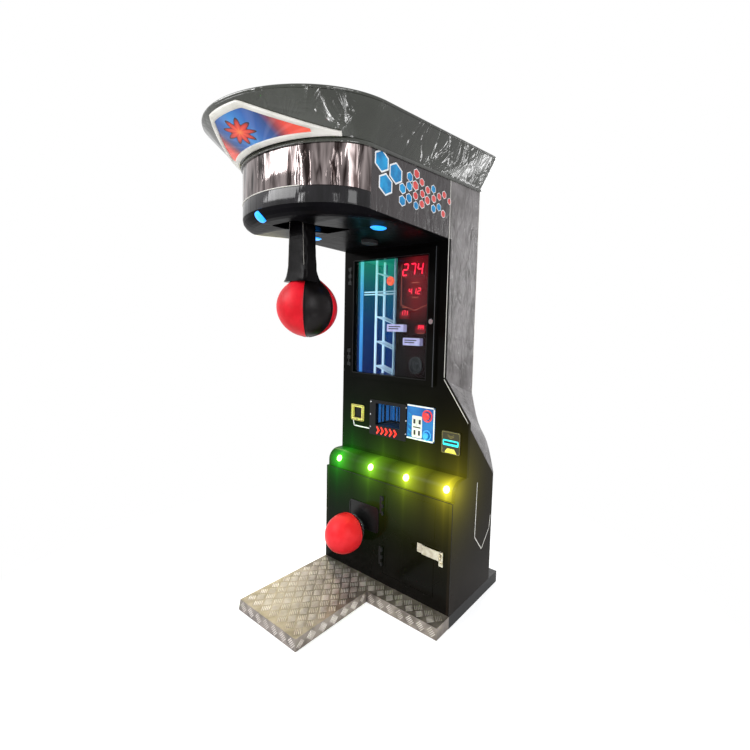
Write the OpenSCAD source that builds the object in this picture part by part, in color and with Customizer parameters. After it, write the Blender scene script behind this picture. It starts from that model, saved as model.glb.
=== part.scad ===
// Boxing arcade machine: a tall cabinet with a swinging ball under a flared hood,
// a kick pad, a prize window, coin and note entries and a tread-plate platform.
// Millimetres, +Z up, +X to the player's right, the front faces -Y.
// The origin is on the floor, at the centre of the overall box.

/* [Overall] */
// Height of the machine over the crown of its hood
overall_h = 2200; // [2050:10:2350]
// Thickness of the cabinet's boards
board_t = 18; // [15:1:22]

/* [Platform] */
// Height of the plinth and of the tread plate on it
plinth_h = 58; // [50:1:80]
// Width of the standing arm of the tread plate
arm_w = 411; // [370:1:430]
// Reach of the standing arm in front of the strip
arm_reach = 393; // [330:1:450]
// Depth of the tread strip along the cabinet's foot
strip_d = 91; // [80:1:110]
// Thickness of the aluminium tread plate
tread_t = 3; // [2:0.5:4]
// Length of the plinth behind the cabinet
tail_d = 87; // [60:1:120]
// Width of the battens under the tread plate
batten_w = 40; // [30:1:50]
// Outward lean of the plate's left skirt
skirt_lean = 14; // [8:1:20]

/* [Lower cabinet] */
// Width of the flare between the column and the lower cabinet's right side
flare_w = 143; // [130:1:160]
// Depth of the lower cabinet
cab_d = 362; // [350:1:370]
// Height of the lower front board's top edge
front_top = 570; // [560:1:585]
// Height of the ledge over the rounded nosing
ledge_z = 655; // [650:1:670]
// Radius of the nosing
nosing_r = 55; // [45:1:60]
// Set-back of the nosing from the lower front
nosing_set = 14; // [10:1:16]
// Thickness of the nosing's moulding
nosing_t = 10; // [8:1:12]
// Radius of each round lamp in the nosing
lamp_r = 15; // [12:1:18]
// Left side of the cabinet to the first lamp
lamp_first = 81; // [70:1:90]
// Last lamp to the right side of the cabinet
lamp_last = 48; // [42:1:60]
// Lamps in the row
lamp_count = 4; // [3:1:4]

/* [Kick pad] */
// Distance of the pad's axis from the cabinet's left side
kick_x = 249; // [240:1:260]
// Height of the pad's axis
kick_z = 296; // [285:1:305]
// Radius of the padded ball
kick_r = 97; // [90:1:105]
// Height of the padded ball over its plate
kick_pad_t = 135; // [110:1:145]
// Travel of the pad
kick_travel = 22; // [15:1:25]
// Radius of the plunger rod
kick_rod_r = 15; // [12:1:18]
// Length of the return spring at rest
kick_spring_l = 62; // [58:1:70]

/* [Service door] */
// Distance of the service door's hinge side from the cabinet's left side
door_x = 424; // [420:1:430]
// Width of the service door
door_w = 310; // [300:1:312]
// Height of the service door's lower edge
door_z = 112; // [105:1:130]
// Height of the service door
door_h = 428; // [400:1:435]
// Height of the hasp's middle line
hasp_z = 318; // [300:1:340]
// Height of the hasp's plates
hasp_h = 42; // [36:1:48]

/* [Column] */
// Width of the column and of the head
head_w = 685; // [640:5:730]
// Depth of the column
column_d = 257; // [250:1:265]
// Height where the right shoulder leaves the column, at the front
shoulder_z = 1096; // [1080:1:1110]
// The same height at the back
shoulder_back_z = 1005; // [980:1:1020]
// Height where the shoulder meets the lower cabinet's side, at the front
hip_z = 907; // [880:1:930]
// The same height at the back
hip_back_z = 620; // [600:1:640]
// Thickness of the shoulder's skin
shoulder_t = 10; // [8:1:12]

/* [Window] */
// Distance of the window door from the column's left side
win_x = 72; // [66:1:74]
// Distance of the window door from the column's right side
win_margin = 49; // [44:1:56]
// Height of the window door's lower edge
win_z = 1055; // [1050:1:1060]
// Distance of the window door's top from the head's lower edge
win_drop = 32; // [26:1:40]
// Width of the hinge stile
stile_hinge = 18; // [16:1:20]
// Height of the lock over the window door's lower edge
lock_up = 303; // [290:1:330]
// Width of the lock stile
stile_lock = 54; // [50:1:60]
// Height of the bottom and top rails
rail_h = 29; // [26:1:34]
// Thickness of the window door
win_t = 14; // [12:1:16]
// Thickness of the glass
glass_t = 5; // [4:0.5:6]
// Depth of the lined case behind the window
case_d = 170; // [150:1:190]

/* [Controls] */
// Room left of and right of the prize frame, taken together
prize_room = 51; // [40:1:60]
// Height of the prize recess' lower edge
prize_z = 812; // [806:1:820]
// Height of the prize recess
prize_h = 120; // [110:1:124]
// Depth of the prize recess
prize_d = 120; // [100:1:140]
// Distance of the button plate from the column's right side
plate_margin = 43; // [38:1:46]
// Width of the button plate
plate_w = 169; // [164:1:172]
// Height of the button plate's lower edge
plate_z = 782; // [776:1:790]
// Height of the button plate
plate_h = 170; // [166:1:178]
// Distance of the coin return's bezel from the column's left side
cup_x = 75; // [70:1:80]
// Radius of the red button
red_r = 23; // [20:1:24]
// Radius of the blue button
blue_r = 20; // [18:1:22]
// Travel of the buttons
button_travel = 3; // [2:0.5:3.5]
// Side of the square note entry
note_w = 103; // [96:1:106]
// Width of the note mouth
note_mouth = 76; // [70:1:80]

/* [Head] */
// Height of the head and hood over the head's lower edge
head_h = 468; // [450:1:480]
// Straight reach of the head in front of the column
head_reach = 490; // [480:1:500]
// Depth of the rounded nose
nose_d = 195; // [190:1:205]
// Height of the head's side at the back
side_h = 292; // [280:1:300]
// Slope of the hood's lower lip, falling to the front
lip_slope = 0.0935; // [0.08:0.001:0.1]
// Thickness of the nose band
band_t = 6; // [4:1:8]
// Depth of the pan under the head, at the nose
pan_depth = 35; // [28:1:38]
// Width of the pan's curled edge
pan_curl = 40; // [34:1:46]

/* [Hood] */
// Overhang of the hood at the sides
hood_side = 72; // [66:1:80]
// Overhang of the hood in front of the nose
hood_front = 161; // [150:1:170]
// Overhang of the hood at the back
hood_back = 47; // [30:1:60]
// Height of the crown over the hood's rim at the back
crown_rise = 32; // [26:1:40]
// Slope of the rim, falling to the front
rim_slope = 0.13; // [0.12:0.002:0.14]
// Height of the dark lip round the hood's foot
lip_h = 14; // [10:1:18]
// Radius of the rim's rear corners
hood_corner = 40; // [20:1:60]
// Thickness of the hood's moulding
hood_t = 5; // [4:0.5:7]

/* [Ball and arm] */
// Radius of the ball
ball_r = 117; // [110:1:120]
// Height of the pivot over the head's lower edge
pivot_rise = 68; // [64:1:72]
// Distance of the pivot behind the end of the head's straight sides
pivot_y = -13; // [-20:1:-8]
// Drop from the pivot to the ball's centre
ball_drop = 412; // [405:1:420]
// Set-back of the ball's axis behind the pivot
ball_set = 9; // [6:1:12]
// Distance of the arm's tube in front of the pivot, which lets the ball hang plumb
tube_set = 10; // [8:1:12]
// Radius of the pivot shaft
shaft_r = 12; // [10:1:14]
// Side of the arm's square tube
arm_tube = 36; // [32:1:38]
// Width of the leather sleeve at its foot
sleeve_w = 132; // [120:1:136]
// Swing of the ball to its stop
swing_up = 58; // [50:1:58]

/* [Fits] */
// Running clearance round shafts and pins
run = 0.05; // [0.03:0.01:0.1]
// Gap round doors and flaps
gap = 2; // [1.5:0.5:3]

/* [Hidden] */
$fn = 48;

// Planes of the cabinet, worked out from the driving sizes
cab_w = head_w + flare_w;
x_left = -(cab_w + hood_side) / 2 + hood_side;
x_right = x_left + cab_w;
x_head = x_left + head_w;
x_mid = x_left + head_w / 2;
half = head_w / 2;
overall_d = tail_d + column_d + head_reach + nose_d + hood_front;
y_back = overall_d / 2;
y_rear = y_back - tail_d;
y_col = y_rear - column_d;
y_front = y_rear - cab_d;
y_strip = y_front - strip_d;
y_arm = y_strip - arm_reach;
y_str = y_col - head_reach;
y_in = y_col + board_t;
y_hood = y_rear + hood_back;
y_nose_in = y_front + nosing_set;
inner_l = x_left + board_t;
inner_r = x_right - board_t;

floor_z = overall_h - head_h;
rim_z = overall_h - crown_rise;

// Heights of the hood's two edges at a depth y
function lip_z(y) = floor_z + side_h - (y_rear - y) * lip_slope;
function rim_at(y) = rim_z - (y_hood - y) * rim_slope;
function lerp(a, b, t) = a + (b - a) * t;

// A board lying in the YZ plane, cut from a profile and t thick along +X
module side_board(x, t, pts) {
    translate([x, 0, 0]) rotate([90, 0, 90]) linear_extrude(t) polygon(pts);
}

// What follows is drawn in the XZ plane and reaches from y to y + t
module facing(y, t) {
    translate([0, y + t, 0]) rotate([90, 0, 0]) linear_extrude(t) children();
}

module rrect(w, h, r) {
    translate([r, 0]) square([w - 2 * r, h]);
    translate([0, r]) square([w, h - 2 * r]);
    for (x = [r, w - r], y = [r, h - r]) translate([x, y]) circle(r);
}

module bar_x(x0, x1, y, z, r) {
    translate([x0, y, z]) rotate([0, 90, 0]) cylinder(h = x1 - x0, r = r);
}

module bar_y(y0, y1, x, z, r) {
    translate([x, y1, z]) rotate([90, 0, 0]) cylinder(h = y1 - y0, r = r);
}

module box(x0, x1, y0, y1, z0, z1) {
    translate([x0, y0, z0]) cube([x1 - x0, y1 - y0, z1 - z0]);
}

// Platform and plinth

tread_outline = [
    [x_left, y_arm], [x_left + arm_w, y_arm], [x_left + arm_w, y_strip],
    [x_right, y_strip], [x_right, y_front], [x_left, y_front]
];

function tread_inset(d) = [
    [x_left + d, y_arm + d], [x_left + arm_w - d, y_arm + d],
    [x_left + arm_w - d, y_strip + d], [x_right - d, y_strip + d],
    [x_right - d, y_front], [x_left + d, y_front]
];

module base_frame() {
    under = plinth_h - tread_t;
    color("#17181a") {
        difference() {
            box(x_left, x_right, y_front, y_back, 0, plinth_h);
            box(x_left + batten_w, x_right - batten_w, y_front + batten_w, y_back - batten_w,
                -1, plinth_h - board_t);
        }
        difference() {
            linear_extrude(under) polygon(tread_inset(tread_t));
            translate([0, 0, -1]) linear_extrude(under + 2)
                polygon(tread_inset(tread_t + batten_w));
        }
        box(x_left + arm_w / 2 - batten_w / 2, x_left + arm_w / 2 + batten_w / 2,
            y_arm + tread_t + batten_w, y_front, 0, under);
    }
}

// Folded from one sheet: vertical skirts, except for the left one, which leans outwards
// and is closed by a triangle at each end
module tread_plate() {
    skirt_z = 3;
    foot_x = x_left - skirt_lean;
    color("#c9ccd0") {
        difference() {
            translate([0, 0, skirt_z]) linear_extrude(plinth_h - skirt_z) polygon(tread_outline);
            translate([0, 0, -1]) linear_extrude(plinth_h - tread_t + 1)
                polygon(concat(
                    [[x_left - 1, y_arm + tread_t]],
                    [for (i = [1:3]) tread_inset(tread_t)[i]],
                    [[x_right - tread_t, y_front + 1], [x_left - 1, y_front + 1]]));
        }
        facing(y_arm, y_front - y_arm) polygon([
            [x_left, plinth_h], [foot_x, skirt_z], [foot_x + tread_t, skirt_z],
            [x_left + tread_t, plinth_h - tread_t], [x_left + tread_t, plinth_h]
        ]);
        for (y = [y_arm, y_front - tread_t]) facing(y, tread_t)
            polygon([[x_left, plinth_h], [foot_x, skirt_z], [x_left + 1, skirt_z]]);
    }
}

// Lower cabinet

nosing_c = [y_nose_in + nosing_r, ledge_z - nosing_r];
function nosing_arc(r) = [for (a = [180:-7.5:90])
    [nosing_c[0] + r * cos(a), nosing_c[1] + r * sin(a)]];

lower_profile = concat(
    [[y_rear, plinth_h], [y_front, plinth_h], [y_front, front_top], [y_nose_in, front_top]],
    nosing_arc(nosing_r),
    [[y_in, ledge_z]]);

module lower_side_left() {
    color("#1d1c1f") side_board(x_left, board_t,
        concat(lower_profile, [[y_in, ledge_z], [y_rear, ledge_z]]));
}

module lower_side_right() {
    hip_in = lerp(hip_z, hip_back_z, board_t / column_d);
    color("#232124") side_board(inner_r, board_t,
        concat(lower_profile, [[y_in, hip_in - shoulder_t], [y_rear, hip_back_z - shoulder_t]]));
}

door_l = x_left + door_x;
door_r = door_l + door_w;
kick_cx = x_left + kick_x;
cover_x = 186;
cover_l = x_left + cover_x;
cover_w = 208;
cover_h = 132;
cover_z = 300;
kick_bush_r = kick_rod_r + 9;

module lower_front() {
    color("#0c0c0e") difference() {
        box(inner_l, inner_r, y_front, y_front + board_t, plinth_h, front_top);
        box(door_l - gap, door_r + gap, y_front - 1, y_front + board_t + 1,
            door_z - gap, door_z + door_h + gap);
        bar_y(y_front - 1, y_front + board_t + 1, kick_cx, kick_z, kick_bush_r);
    }
}

// Its upper right edge follows the shoulder's underside
module lower_back() {
    end = (inner_r - x_head) / (x_right - x_head);
    last = floor(end * shoulder_n);
    edge = lerp(shoulder_rear(last / shoulder_n), shoulder_rear((last + 1) / shoulder_n),
        end * shoulder_n - last);
    drop = shoulder_t + 0.3;
    color("#141316") facing(y_rear - board_t, board_t) polygon(concat(
        [[inner_l, plinth_h], [inner_r, plinth_h], [inner_r, edge - drop]],
        [for (i = [last:-1:0]) [shoulder_x(i / shoulder_n), shoulder_rear(i / shoulder_n) - drop]],
        [[x_head, ledge_z], [inner_l, ledge_z]]));
}

lamp_a = 20;
lamp_pitch = (cab_w - lamp_first - lamp_last) / (lamp_count - 1);
module at_lamps() {
    for (i = [0:lamp_count - 1])
        translate([x_left + lamp_first + lamp_pitch * i, nosing_c[0], nosing_c[1]])
            rotate([90 - lamp_a, 0, 0]) children();
}

module nosing() {
    color("#101512") difference() {
        side_board(inner_l, inner_r - inner_l, concat(
            [[y_nose_in, front_top]], nosing_arc(nosing_r), [[y_col, ledge_z]],
            [[y_col, ledge_z - nosing_t]],
            [for (i = [12:-1:0]) nosing_arc(nosing_r - nosing_t)[i]],
            [[y_nose_in + nosing_t, front_top]]));
        at_lamps() cylinder(h = nosing_r + nosing_t, r = lamp_r);
    }
}

led_lip = 3;
led_dome = 7;
led_nut_t = 10;
led_nut_lip = 4;
led_nut_gap = 8;
module led_lamps() {
    stem = nosing_r - nosing_t - led_nut_gap;
    color("#b7ff3c") at_lamps() {
        translate([0, 0, stem]) cylinder(h = nosing_r - stem, r = lamp_r - run);
        translate([0, 0, nosing_r]) rotate_extrude() polygon(concat([[0, 0]],
            [for (a = [0:15:90]) [(lamp_r + led_lip) * cos(a), led_dome * sin(a)]]));
        translate([0, 0, stem - led_nut_t]) cylinder(h = led_nut_t, r = lamp_r + led_nut_lip);
    }
}

// Kick pad

kick_back = y_front - kick_travel - 12;
kick_plate_t = 8;
kick_foot_a = -15;
kick_seat = 16;
kick_collar = 8;
guide_lip = 22;
bracket_h = 70;
guide_flange_t = 8;
guide_end = y_front + board_t + 42;
rod_end = guide_end + 12;
bracket_y = rod_end + kick_spring_l;
bracket_t = 4;
bracket_w = 90;

module kick_cushion() {
    color("#e3262c") translate([kick_cx, kick_back - kick_plate_t, kick_z])
        rotate([90, 0, 0]) rotate_extrude($fn = 72) polygon(concat(
            [[0, 0], [kick_r - kick_seat, 0]],
            [for (a = [kick_foot_a:7.5:90]) [kick_r * cos(a), kick_pad_t - kick_r + kick_r * sin(a)]]));
}

module kick_plunger() {
    color("#aeb2b6") {
        bar_y(kick_back - kick_plate_t, kick_back, kick_cx, kick_z, kick_r - kick_seat);
        bar_y(kick_back, rod_end, kick_cx, kick_z, kick_rod_r);
        bar_y(rod_end - kick_collar, rod_end, kick_cx, kick_z, kick_rod_r + kick_collar);
    }
}

module kick_guide() {
    color("#7f858b") {
        difference() {
            union() {
                bar_y(y_front - guide_flange_t, y_front, kick_cx, kick_z, kick_bush_r + guide_lip);
                bar_y(y_front, guide_end - 4, kick_cx, kick_z, kick_bush_r);
            }
            bar_y(y_front - guide_flange_t - 1, guide_end, kick_cx, kick_z, kick_rod_r + run);
        }
        difference() {
            box(kick_cx - bracket_w / 2, kick_cx + bracket_w / 2, y_front + board_t,
                bracket_y + bracket_t, kick_z - bracket_h / 2, kick_z + bracket_h / 2);
            box(kick_cx - bracket_w / 2 + bracket_t, kick_cx + bracket_w / 2 - bracket_t,
                y_front + board_t + bracket_t, bracket_y, kick_z - bracket_h, kick_z + bracket_h);
            bar_y(y_front, y_front + board_t + bracket_t + 1, kick_cx, kick_z, kick_bush_r + 0.2);
        }
    }
}

// Coil spring: a round wire swept along a helix, with level ends
spring_turns = 7;
spring_wire = 2;
spring_r = kick_rod_r + 4;
spring_sides = 6;
spring_steps = spring_turns * 8;
function helix(i) =
    let (a = 360 * i / 8, l = spring_wire + (kick_spring_l - 2 * spring_wire) * i / spring_steps)
    [spring_r * cos(a), spring_r * sin(a), l];
module kick_spring() {
    pts = [for (i = [0:spring_steps], k = [0:spring_sides - 1])
        let (a = 360 * i / 8, b = 360 * k / spring_sides, c = helix(i))
        [c[0] + spring_wire * cos(b) * cos(a), c[1] + spring_wire * cos(b) * sin(a),
            c[2] + spring_wire * sin(b)]];
    n = spring_sides;
    skin = [for (i = [0:spring_steps - 1], k = [0:n - 1], h = [0, 1])
        let (a = i * n + k, b = i * n + (k + 1) % n)
        h == 0 ? [a, b, b + n] : [a, b + n, a + n]];
    ends = [[for (k = [n - 1:-1:0]) k], [for (k = [0:n - 1]) spring_steps * n + k]];
    color("#b9bdc2") translate([kick_cx, rod_end, kick_z]) rotate([-90, 0, 0])
        polyhedron(pts, concat(skin, ends));
}

// Cover plate of the kick mechanism, with a raised rim
module cover_plate() {
    rim = 5;
    color("#1b1d1a") difference() {
        facing(y_front - 4, 4) translate([cover_l, cover_z]) rrect(cover_w, cover_h, 20);
        facing(y_front - 5, 3) translate([cover_l + rim, cover_z + rim])
            rrect(cover_w - 2 * rim, cover_h - 2 * rim, 15);
        bar_y(y_front - 5, y_front + 1, kick_cx, kick_z, kick_bush_r + guide_lip + 2);
    }
}

// Butt hinges: each has a fixed half with its pin and a moving half, whose knuckles
// alternate along the pin. The pin stands in front of the face that carries it.

pin_r = 3;
knuckle_r = 6;
leaf_t = 2;
leaf_w = 24;
hinge_l = 90;
knuckles = 5;
knuckle_l = hinge_l / knuckles;
end_float = 0.3;

module knuckle(i) {
    translate([0, 0, i * knuckle_l + end_float]) difference() {
        cylinder(h = knuckle_l - 2 * end_float, r = knuckle_r);
        translate([0, 0, -1]) cylinder(h = knuckle_l + 2, r = pin_r + run);
    }
}

// side +1 lays the leaf towards +X, -1 towards -X; the leaf's back lies at y = knuckle_r
module half_hinge(side, odd) {
    for (i = [0:knuckles - 1]) if (i % 2 == odd) {
        knuckle(i);
        difference() {
            translate([side > 0 ? 0 : -leaf_w, knuckle_r - leaf_t, i * knuckle_l + end_float])
                cube([leaf_w, leaf_t, knuckle_l - 2 * end_float]);
            translate([0, 0, -1]) cylinder(h = hinge_l + 2, r = pin_r + run);
        }
    }
    translate([side > 0 ? knuckle_r + 3 : -leaf_w, knuckle_r - leaf_t, end_float])
        cube([leaf_w - knuckle_r - 3, leaf_t, hinge_l - 2 * end_float]);
}

module hinge_pin() {
    cylinder(h = hinge_l, r = pin_r);
    translate([0, 0, -2]) cylinder(h = 2, r = pin_r + 1.5);
    translate([0, 0, hinge_l]) cylinder(h = 2, r = pin_r + 1.5);
}

service_pin = [door_l - gap / 2, y_front - knuckle_r];
service_hinge_z = [door_z + 40, door_z + door_h - 40 - hinge_l];
win_l = x_left + win_x;
win_r = x_head - win_margin;
win_w = win_r - win_l;
win_h = floor_z - win_drop - win_z;
y_win = y_col - win_t;
window_pin = [win_l - knuckle_r - 2, y_win + knuckle_r - leaf_t];
window_hinge_z = [win_z + 60, win_z + win_h - 60 - hinge_l];
rear_margin = 143;
rear_l = x_left + rear_margin;
rear_w = head_w - 2 * rear_margin;
rear_z = 760;
rear_h = 740;
rear_t = 15;
rear_pin = [rear_l - knuckle_r - 1, y_rear + knuckle_r];
rear_hinge_z = [rear_z + 80, rear_z + rear_h - 80 - hinge_l];
vent_rows = 8;
vent_w = 130;
vent_t = 10;
vent_step = 150;
vent_rise = 22;
vent_l = rear_l + (rear_w - vent_step - vent_w) / 2;
vent_z = rear_z + rear_h + 60;

module hinges() {
    color("#9a9da1") {
        for (z = service_hinge_z) translate([service_pin[0], service_pin[1], z]) {
            half_hinge(-1, 0);
            hinge_pin();
        }
        for (z = window_hinge_z) translate([window_pin[0], window_pin[1], z]) {
            translate([0, win_t - knuckle_r + leaf_t - knuckle_r, 0]) half_hinge_block();
            hinge_pin();
        }
        for (z = rear_hinge_z) translate([rear_pin[0], rear_pin[1], z]) {
            rotate(180) half_hinge(1, 0);
            hinge_pin();
        }
    }
}

// The window's fixed half stands on a spacer, because its door lies on the fascia
module half_hinge_block() {
    depth = win_t - 2 * knuckle_r + leaf_t;
    for (i = [0:2:knuckles - 1]) {
        translate([0, -depth, 0]) knuckle(i);
        difference() {
            translate([-leaf_w, -depth, i * knuckle_l + end_float])
                cube([leaf_w, depth + knuckle_r, knuckle_l - 2 * end_float]);
            translate([0, -depth, -1]) cylinder(h = hinge_l + 2, r = pin_r + run);
        }
    }
    translate([-leaf_w, knuckle_r - leaf_t, end_float])
        cube([leaf_w - knuckle_r - 3, leaf_t, hinge_l - 2 * end_float]);
}

// Service door with its hasp

service_t = 15;
strap_x = door_r - 60;
strap_l = 116;
strap_t = 3;
strap_pin_y = y_front - 5;
staple_x = strap_x + strap_l - 15;
key_gap = 62;
hasp_pin_r = 2;
hasp_knuckle_r = 4;
hasp_leaf_w = 34;
key_r = 11;
key_plug_r = 7;
key_t = 9;

staple_w = 22;
staple_t = 5;
staple_h = 22;
staple_d = 24;
staple_foot = 48;

module service_door() {
    color("#0f0f12") {
        box(door_l, door_r, y_front, y_front + service_t, door_z, door_z + door_h);
        bar_y(y_front - key_t, y_front, strap_x - key_gap, hasp_z - 6, key_r);
        bar_y(y_front - key_t - 3, y_front, strap_x - key_gap, hasp_z - 6, key_plug_r);
        for (z = service_hinge_z) translate([service_pin[0], service_pin[1], z])
            half_hinge(1, 1);
    }
}

module hasp_leaf() {
    color("#c9c4b4") {
        box(strap_x - hasp_leaf_w, strap_x - hasp_knuckle_r - 0.5, y_front - leaf_t, y_front,
            hasp_z - hasp_h / 2, hasp_z + hasp_h / 2);
        for (s = [-1, 1]) translate([strap_x, strap_pin_y, hasp_z + s * hasp_h / 3]) {
            difference() {
                cylinder(h = hasp_h / 3 - end_float, r = hasp_knuckle_r, center = true);
                cylinder(h = hasp_h, r = hasp_pin_r + run, center = true);
            }
            difference() {
                translate([-hasp_knuckle_r - 2, 0, -hasp_h / 6 + end_float])
                    cube([hasp_knuckle_r + 1, y_front - strap_pin_y, hasp_h / 3 - 2 * end_float]);
                cylinder(h = hasp_h, r = hasp_knuckle_r - 0.5, center = true);
            }
        }
        translate([strap_x, strap_pin_y, hasp_z]) cylinder(h = hasp_h, r = hasp_pin_r, center = true);
    }
}

module hasp_strap() {
    color("#d6d1c0") difference() {
        union() {
            translate([strap_x, strap_pin_y, hasp_z])
                cylinder(h = hasp_h / 3 - 2 * end_float, r = hasp_knuckle_r, center = true);
            box(strap_x, strap_x + 12, strap_pin_y - hasp_knuckle_r, strap_pin_y - hasp_knuckle_r + strap_t,
                hasp_z - hasp_h / 6 + end_float, hasp_z + hasp_h / 6 - end_float);
            box(strap_x + 6, strap_x + strap_l, strap_pin_y - hasp_knuckle_r,
                strap_pin_y - hasp_knuckle_r + strap_t, hasp_z - hasp_h / 2, hasp_z + hasp_h / 2);
        }
        translate([strap_x, strap_pin_y, hasp_z])
            cylinder(h = hasp_h, r = hasp_pin_r + run, center = true);
        box(staple_x - staple_t, staple_x + staple_t, y_front - staple_d, y_front,
            hasp_z - staple_h / 2 - staple_t, hasp_z + staple_h / 2 + staple_t);
    }
}

module hasp_staple() {
    color("#b9b5a8") {
        box(staple_x - staple_w / 2, staple_x + staple_w / 2, y_front - leaf_t, y_front,
            hasp_z - staple_foot, hasp_z + 20);
        bar_y(y_front - key_t, y_front, staple_x, hasp_z - staple_foot + 12, key_plug_r);
        difference() {
            box(staple_x - staple_t / 2, staple_x + staple_t / 2, y_front - staple_d, y_front - leaf_t,
                hasp_z - staple_h / 2, hasp_z + staple_h / 2);
            box(staple_x - staple_t, staple_x + staple_t, y_front - staple_d + staple_t,
                y_front - 10, hasp_z - staple_h / 2 + staple_t, hasp_z + staple_h / 2 - staple_t);
        }
    }
}

box_w = 200;
box_l = door_l + (door_w - box_w) / 2;
box_d = 180;
box_h = 130;
module cash_box() {
    wall = 2;
    y0 = y_front + board_t + 40;
    color("#8d9196") difference() {
        box(box_l, box_l + box_w, y0, y0 + box_d, plinth_h, plinth_h + box_h);
        box(box_l + wall, box_l + box_w - wall, y0 + wall, y0 + box_d - wall,
            plinth_h + wall, plinth_h + box_h + 1);
    }
}

// Right shoulder: a skin that runs from the column's side out to the lower side.
// Its height at the back falls with a shallow double bend.

shoulder_n = 10;
function shoulder_x(s) = lerp(x_head, x_right, s);
function shoulder_front(s) = lerp(shoulder_z, hip_z, s);
function shoulder_rear(s) = lerp(shoulder_back_z, hip_back_z, s) - 30 * sin(360 * s);
module shoulder_panel() {
    top = [for (i = [0:shoulder_n]) let (s = i / shoulder_n)
        [shoulder_x(s), y_in, lerp(shoulder_front(s), shoulder_rear(s), board_t / column_d)]];
    rear = [for (i = [0:shoulder_n]) let (s = i / shoulder_n)
        [shoulder_x(s), y_rear, shoulder_rear(s)]];
    down = [0, 0, -shoulder_t];
    n = shoulder_n + 1;
    faces = concat(
        [for (i = [0:shoulder_n - 1]) each [[i, i + n, i + n + 1], [i, i + n + 1, i + 1]]],
        [for (i = [0:shoulder_n - 1]) each [
            [i + 2 * n, i + 3 * n + 1, i + 3 * n], [i + 2 * n, i + 2 * n + 1, i + 3 * n + 1]]],
        [for (i = [0:shoulder_n - 1]) [i, i + 1, i + 1 + 2 * n, i + 2 * n]],
        [for (i = [0:shoulder_n - 1]) [i + n, i + 3 * n, i + 1 + 3 * n, i + 1 + n]],
        [[0, 2 * n, 3 * n, n], [n - 1, 2 * n - 1, 4 * n - 1, 3 * n - 1]]);
    color("#3a383b") polyhedron(
        concat(top, rear, [for (p = top) p + down], [for (p = rear) p + down]), faces);
}

// Column and head boards

win_open = [win_l + stile_hinge, win_r - stile_lock, win_z + rail_h, win_z + win_h - rail_h];
plate_l = x_head - plate_margin - plate_w;
coin_l = plate_l + 34;
coin_w = 60;
coin_h = 107;
coin_mid = coin_l + coin_w / 2;
coin_way = 16;
coin_slot = 3.6;
mech_w = 80;
mech_d = 110;
mech_h = 120;
button_x = plate_l + 125;
red_z = plate_z + 126;
blue_z = plate_z + 32;
cup_rim = 12;
cup_l = x_left + cup_x + cup_rim;
cup_w = 70;
cup_end = cup_l + cup_w + cup_rim;
prize_rim = 40;
prize_l = cup_end + prize_room - 7 + prize_rim;
prize_w = plate_l - 7 - prize_rim - prize_l;
cup_z = plate_z + 46;
cup_h = 66;
note_l = x_head + 3;
note_z = 752;
note_wall = 13;
note_throat = note_w - 2 * note_wall;
stem_r = 9;

module fascia() {
    color("#0d0d10") difference() {
        facing(y_col, board_t) polygon([
            [x_left, ledge_z], [x_right, ledge_z], [x_right, hip_z], [x_head, shoulder_z],
            [x_head, floor_z], [x_left, floor_z]
        ]);
        box(win_open[0], win_open[1], y_col - 1, y_in + 1, win_open[2], win_open[3]);
        box(prize_l, prize_l + prize_w, y_col - 1, y_in + 1, prize_z, prize_z + prize_h);
        box(coin_mid - coin_way / 2, coin_mid + coin_way / 2, y_col - 1, y_in + 1,
            plate_z + 30, plate_z + 105);
        box(cup_l, cup_l + cup_w, y_col - 1, y_in + 1, cup_z, cup_z + cup_h);
        box(note_l + note_wall, note_l + note_wall + note_throat, y_col - 1, y_in + 1,
            note_z + note_wall, note_z + note_wall + note_throat);
        for (z = [red_z, blue_z]) bar_y(y_col - 1, y_in + 1, button_x, z, stem_r + 4);
    }
}

column_profile = [
    [y_in, ledge_z], [y_rear, ledge_z], [y_rear, lip_z(y_rear) + 8],
    [y_str, lip_z(y_str) + 8], [y_str, floor_z], [y_in, floor_z]
];

module side_left() {
    color("#3b393b") side_board(x_left, board_t, column_profile);
}

module side_right() {
    color("#454244") side_board(x_head - board_t, board_t, column_profile);
}

module back_panel() {
    color("#141316") difference() {
        facing(y_rear - board_t, board_t) polygon([
            [inner_l, ledge_z], [x_head - board_t, ledge_z],
            [x_head - board_t, lip_z(y_rear - board_t)], [inner_l, lip_z(y_rear - board_t)]
        ]);
        box(rear_l + 15, rear_l + rear_w - 15, y_rear - board_t - 1, y_rear + 1,
            rear_z + 15, rear_z + rear_h - 15);
        for (i = [0:vent_rows - 1], k = [0, 1])
            box(vent_l + vent_step * k, vent_l + vent_step * k + vent_w, y_rear - board_t - 1,
                y_rear + 1, vent_z + vent_rise * i, vent_z + vent_rise * i + vent_t);
    }
}

rear_lock_x = rear_l + rear_w - 34;
rear_lock_z = rear_z + rear_h / 2;
lock_r = 9;

module rear_door() {
    color("#18171a") {
        difference() {
            box(rear_l, rear_l + rear_w, y_rear + 0.3, y_rear + rear_t, rear_z, rear_z + rear_h);
            bar_y(y_rear - 1, y_rear + rear_t + 1, rear_lock_x, rear_lock_z, lock_r + run);
            for (i = [0:9])
                box(rear_l + 60, rear_l + rear_w - 90, y_rear - 1, y_rear + rear_t + 1,
                    rear_z + 90 + 20 * i, rear_z + 98 + 20 * i);
        }
        for (z = rear_hinge_z) translate([rear_pin[0], rear_pin[1], z]) rotate(180)
            half_hinge_edge();
    }
}

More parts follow.
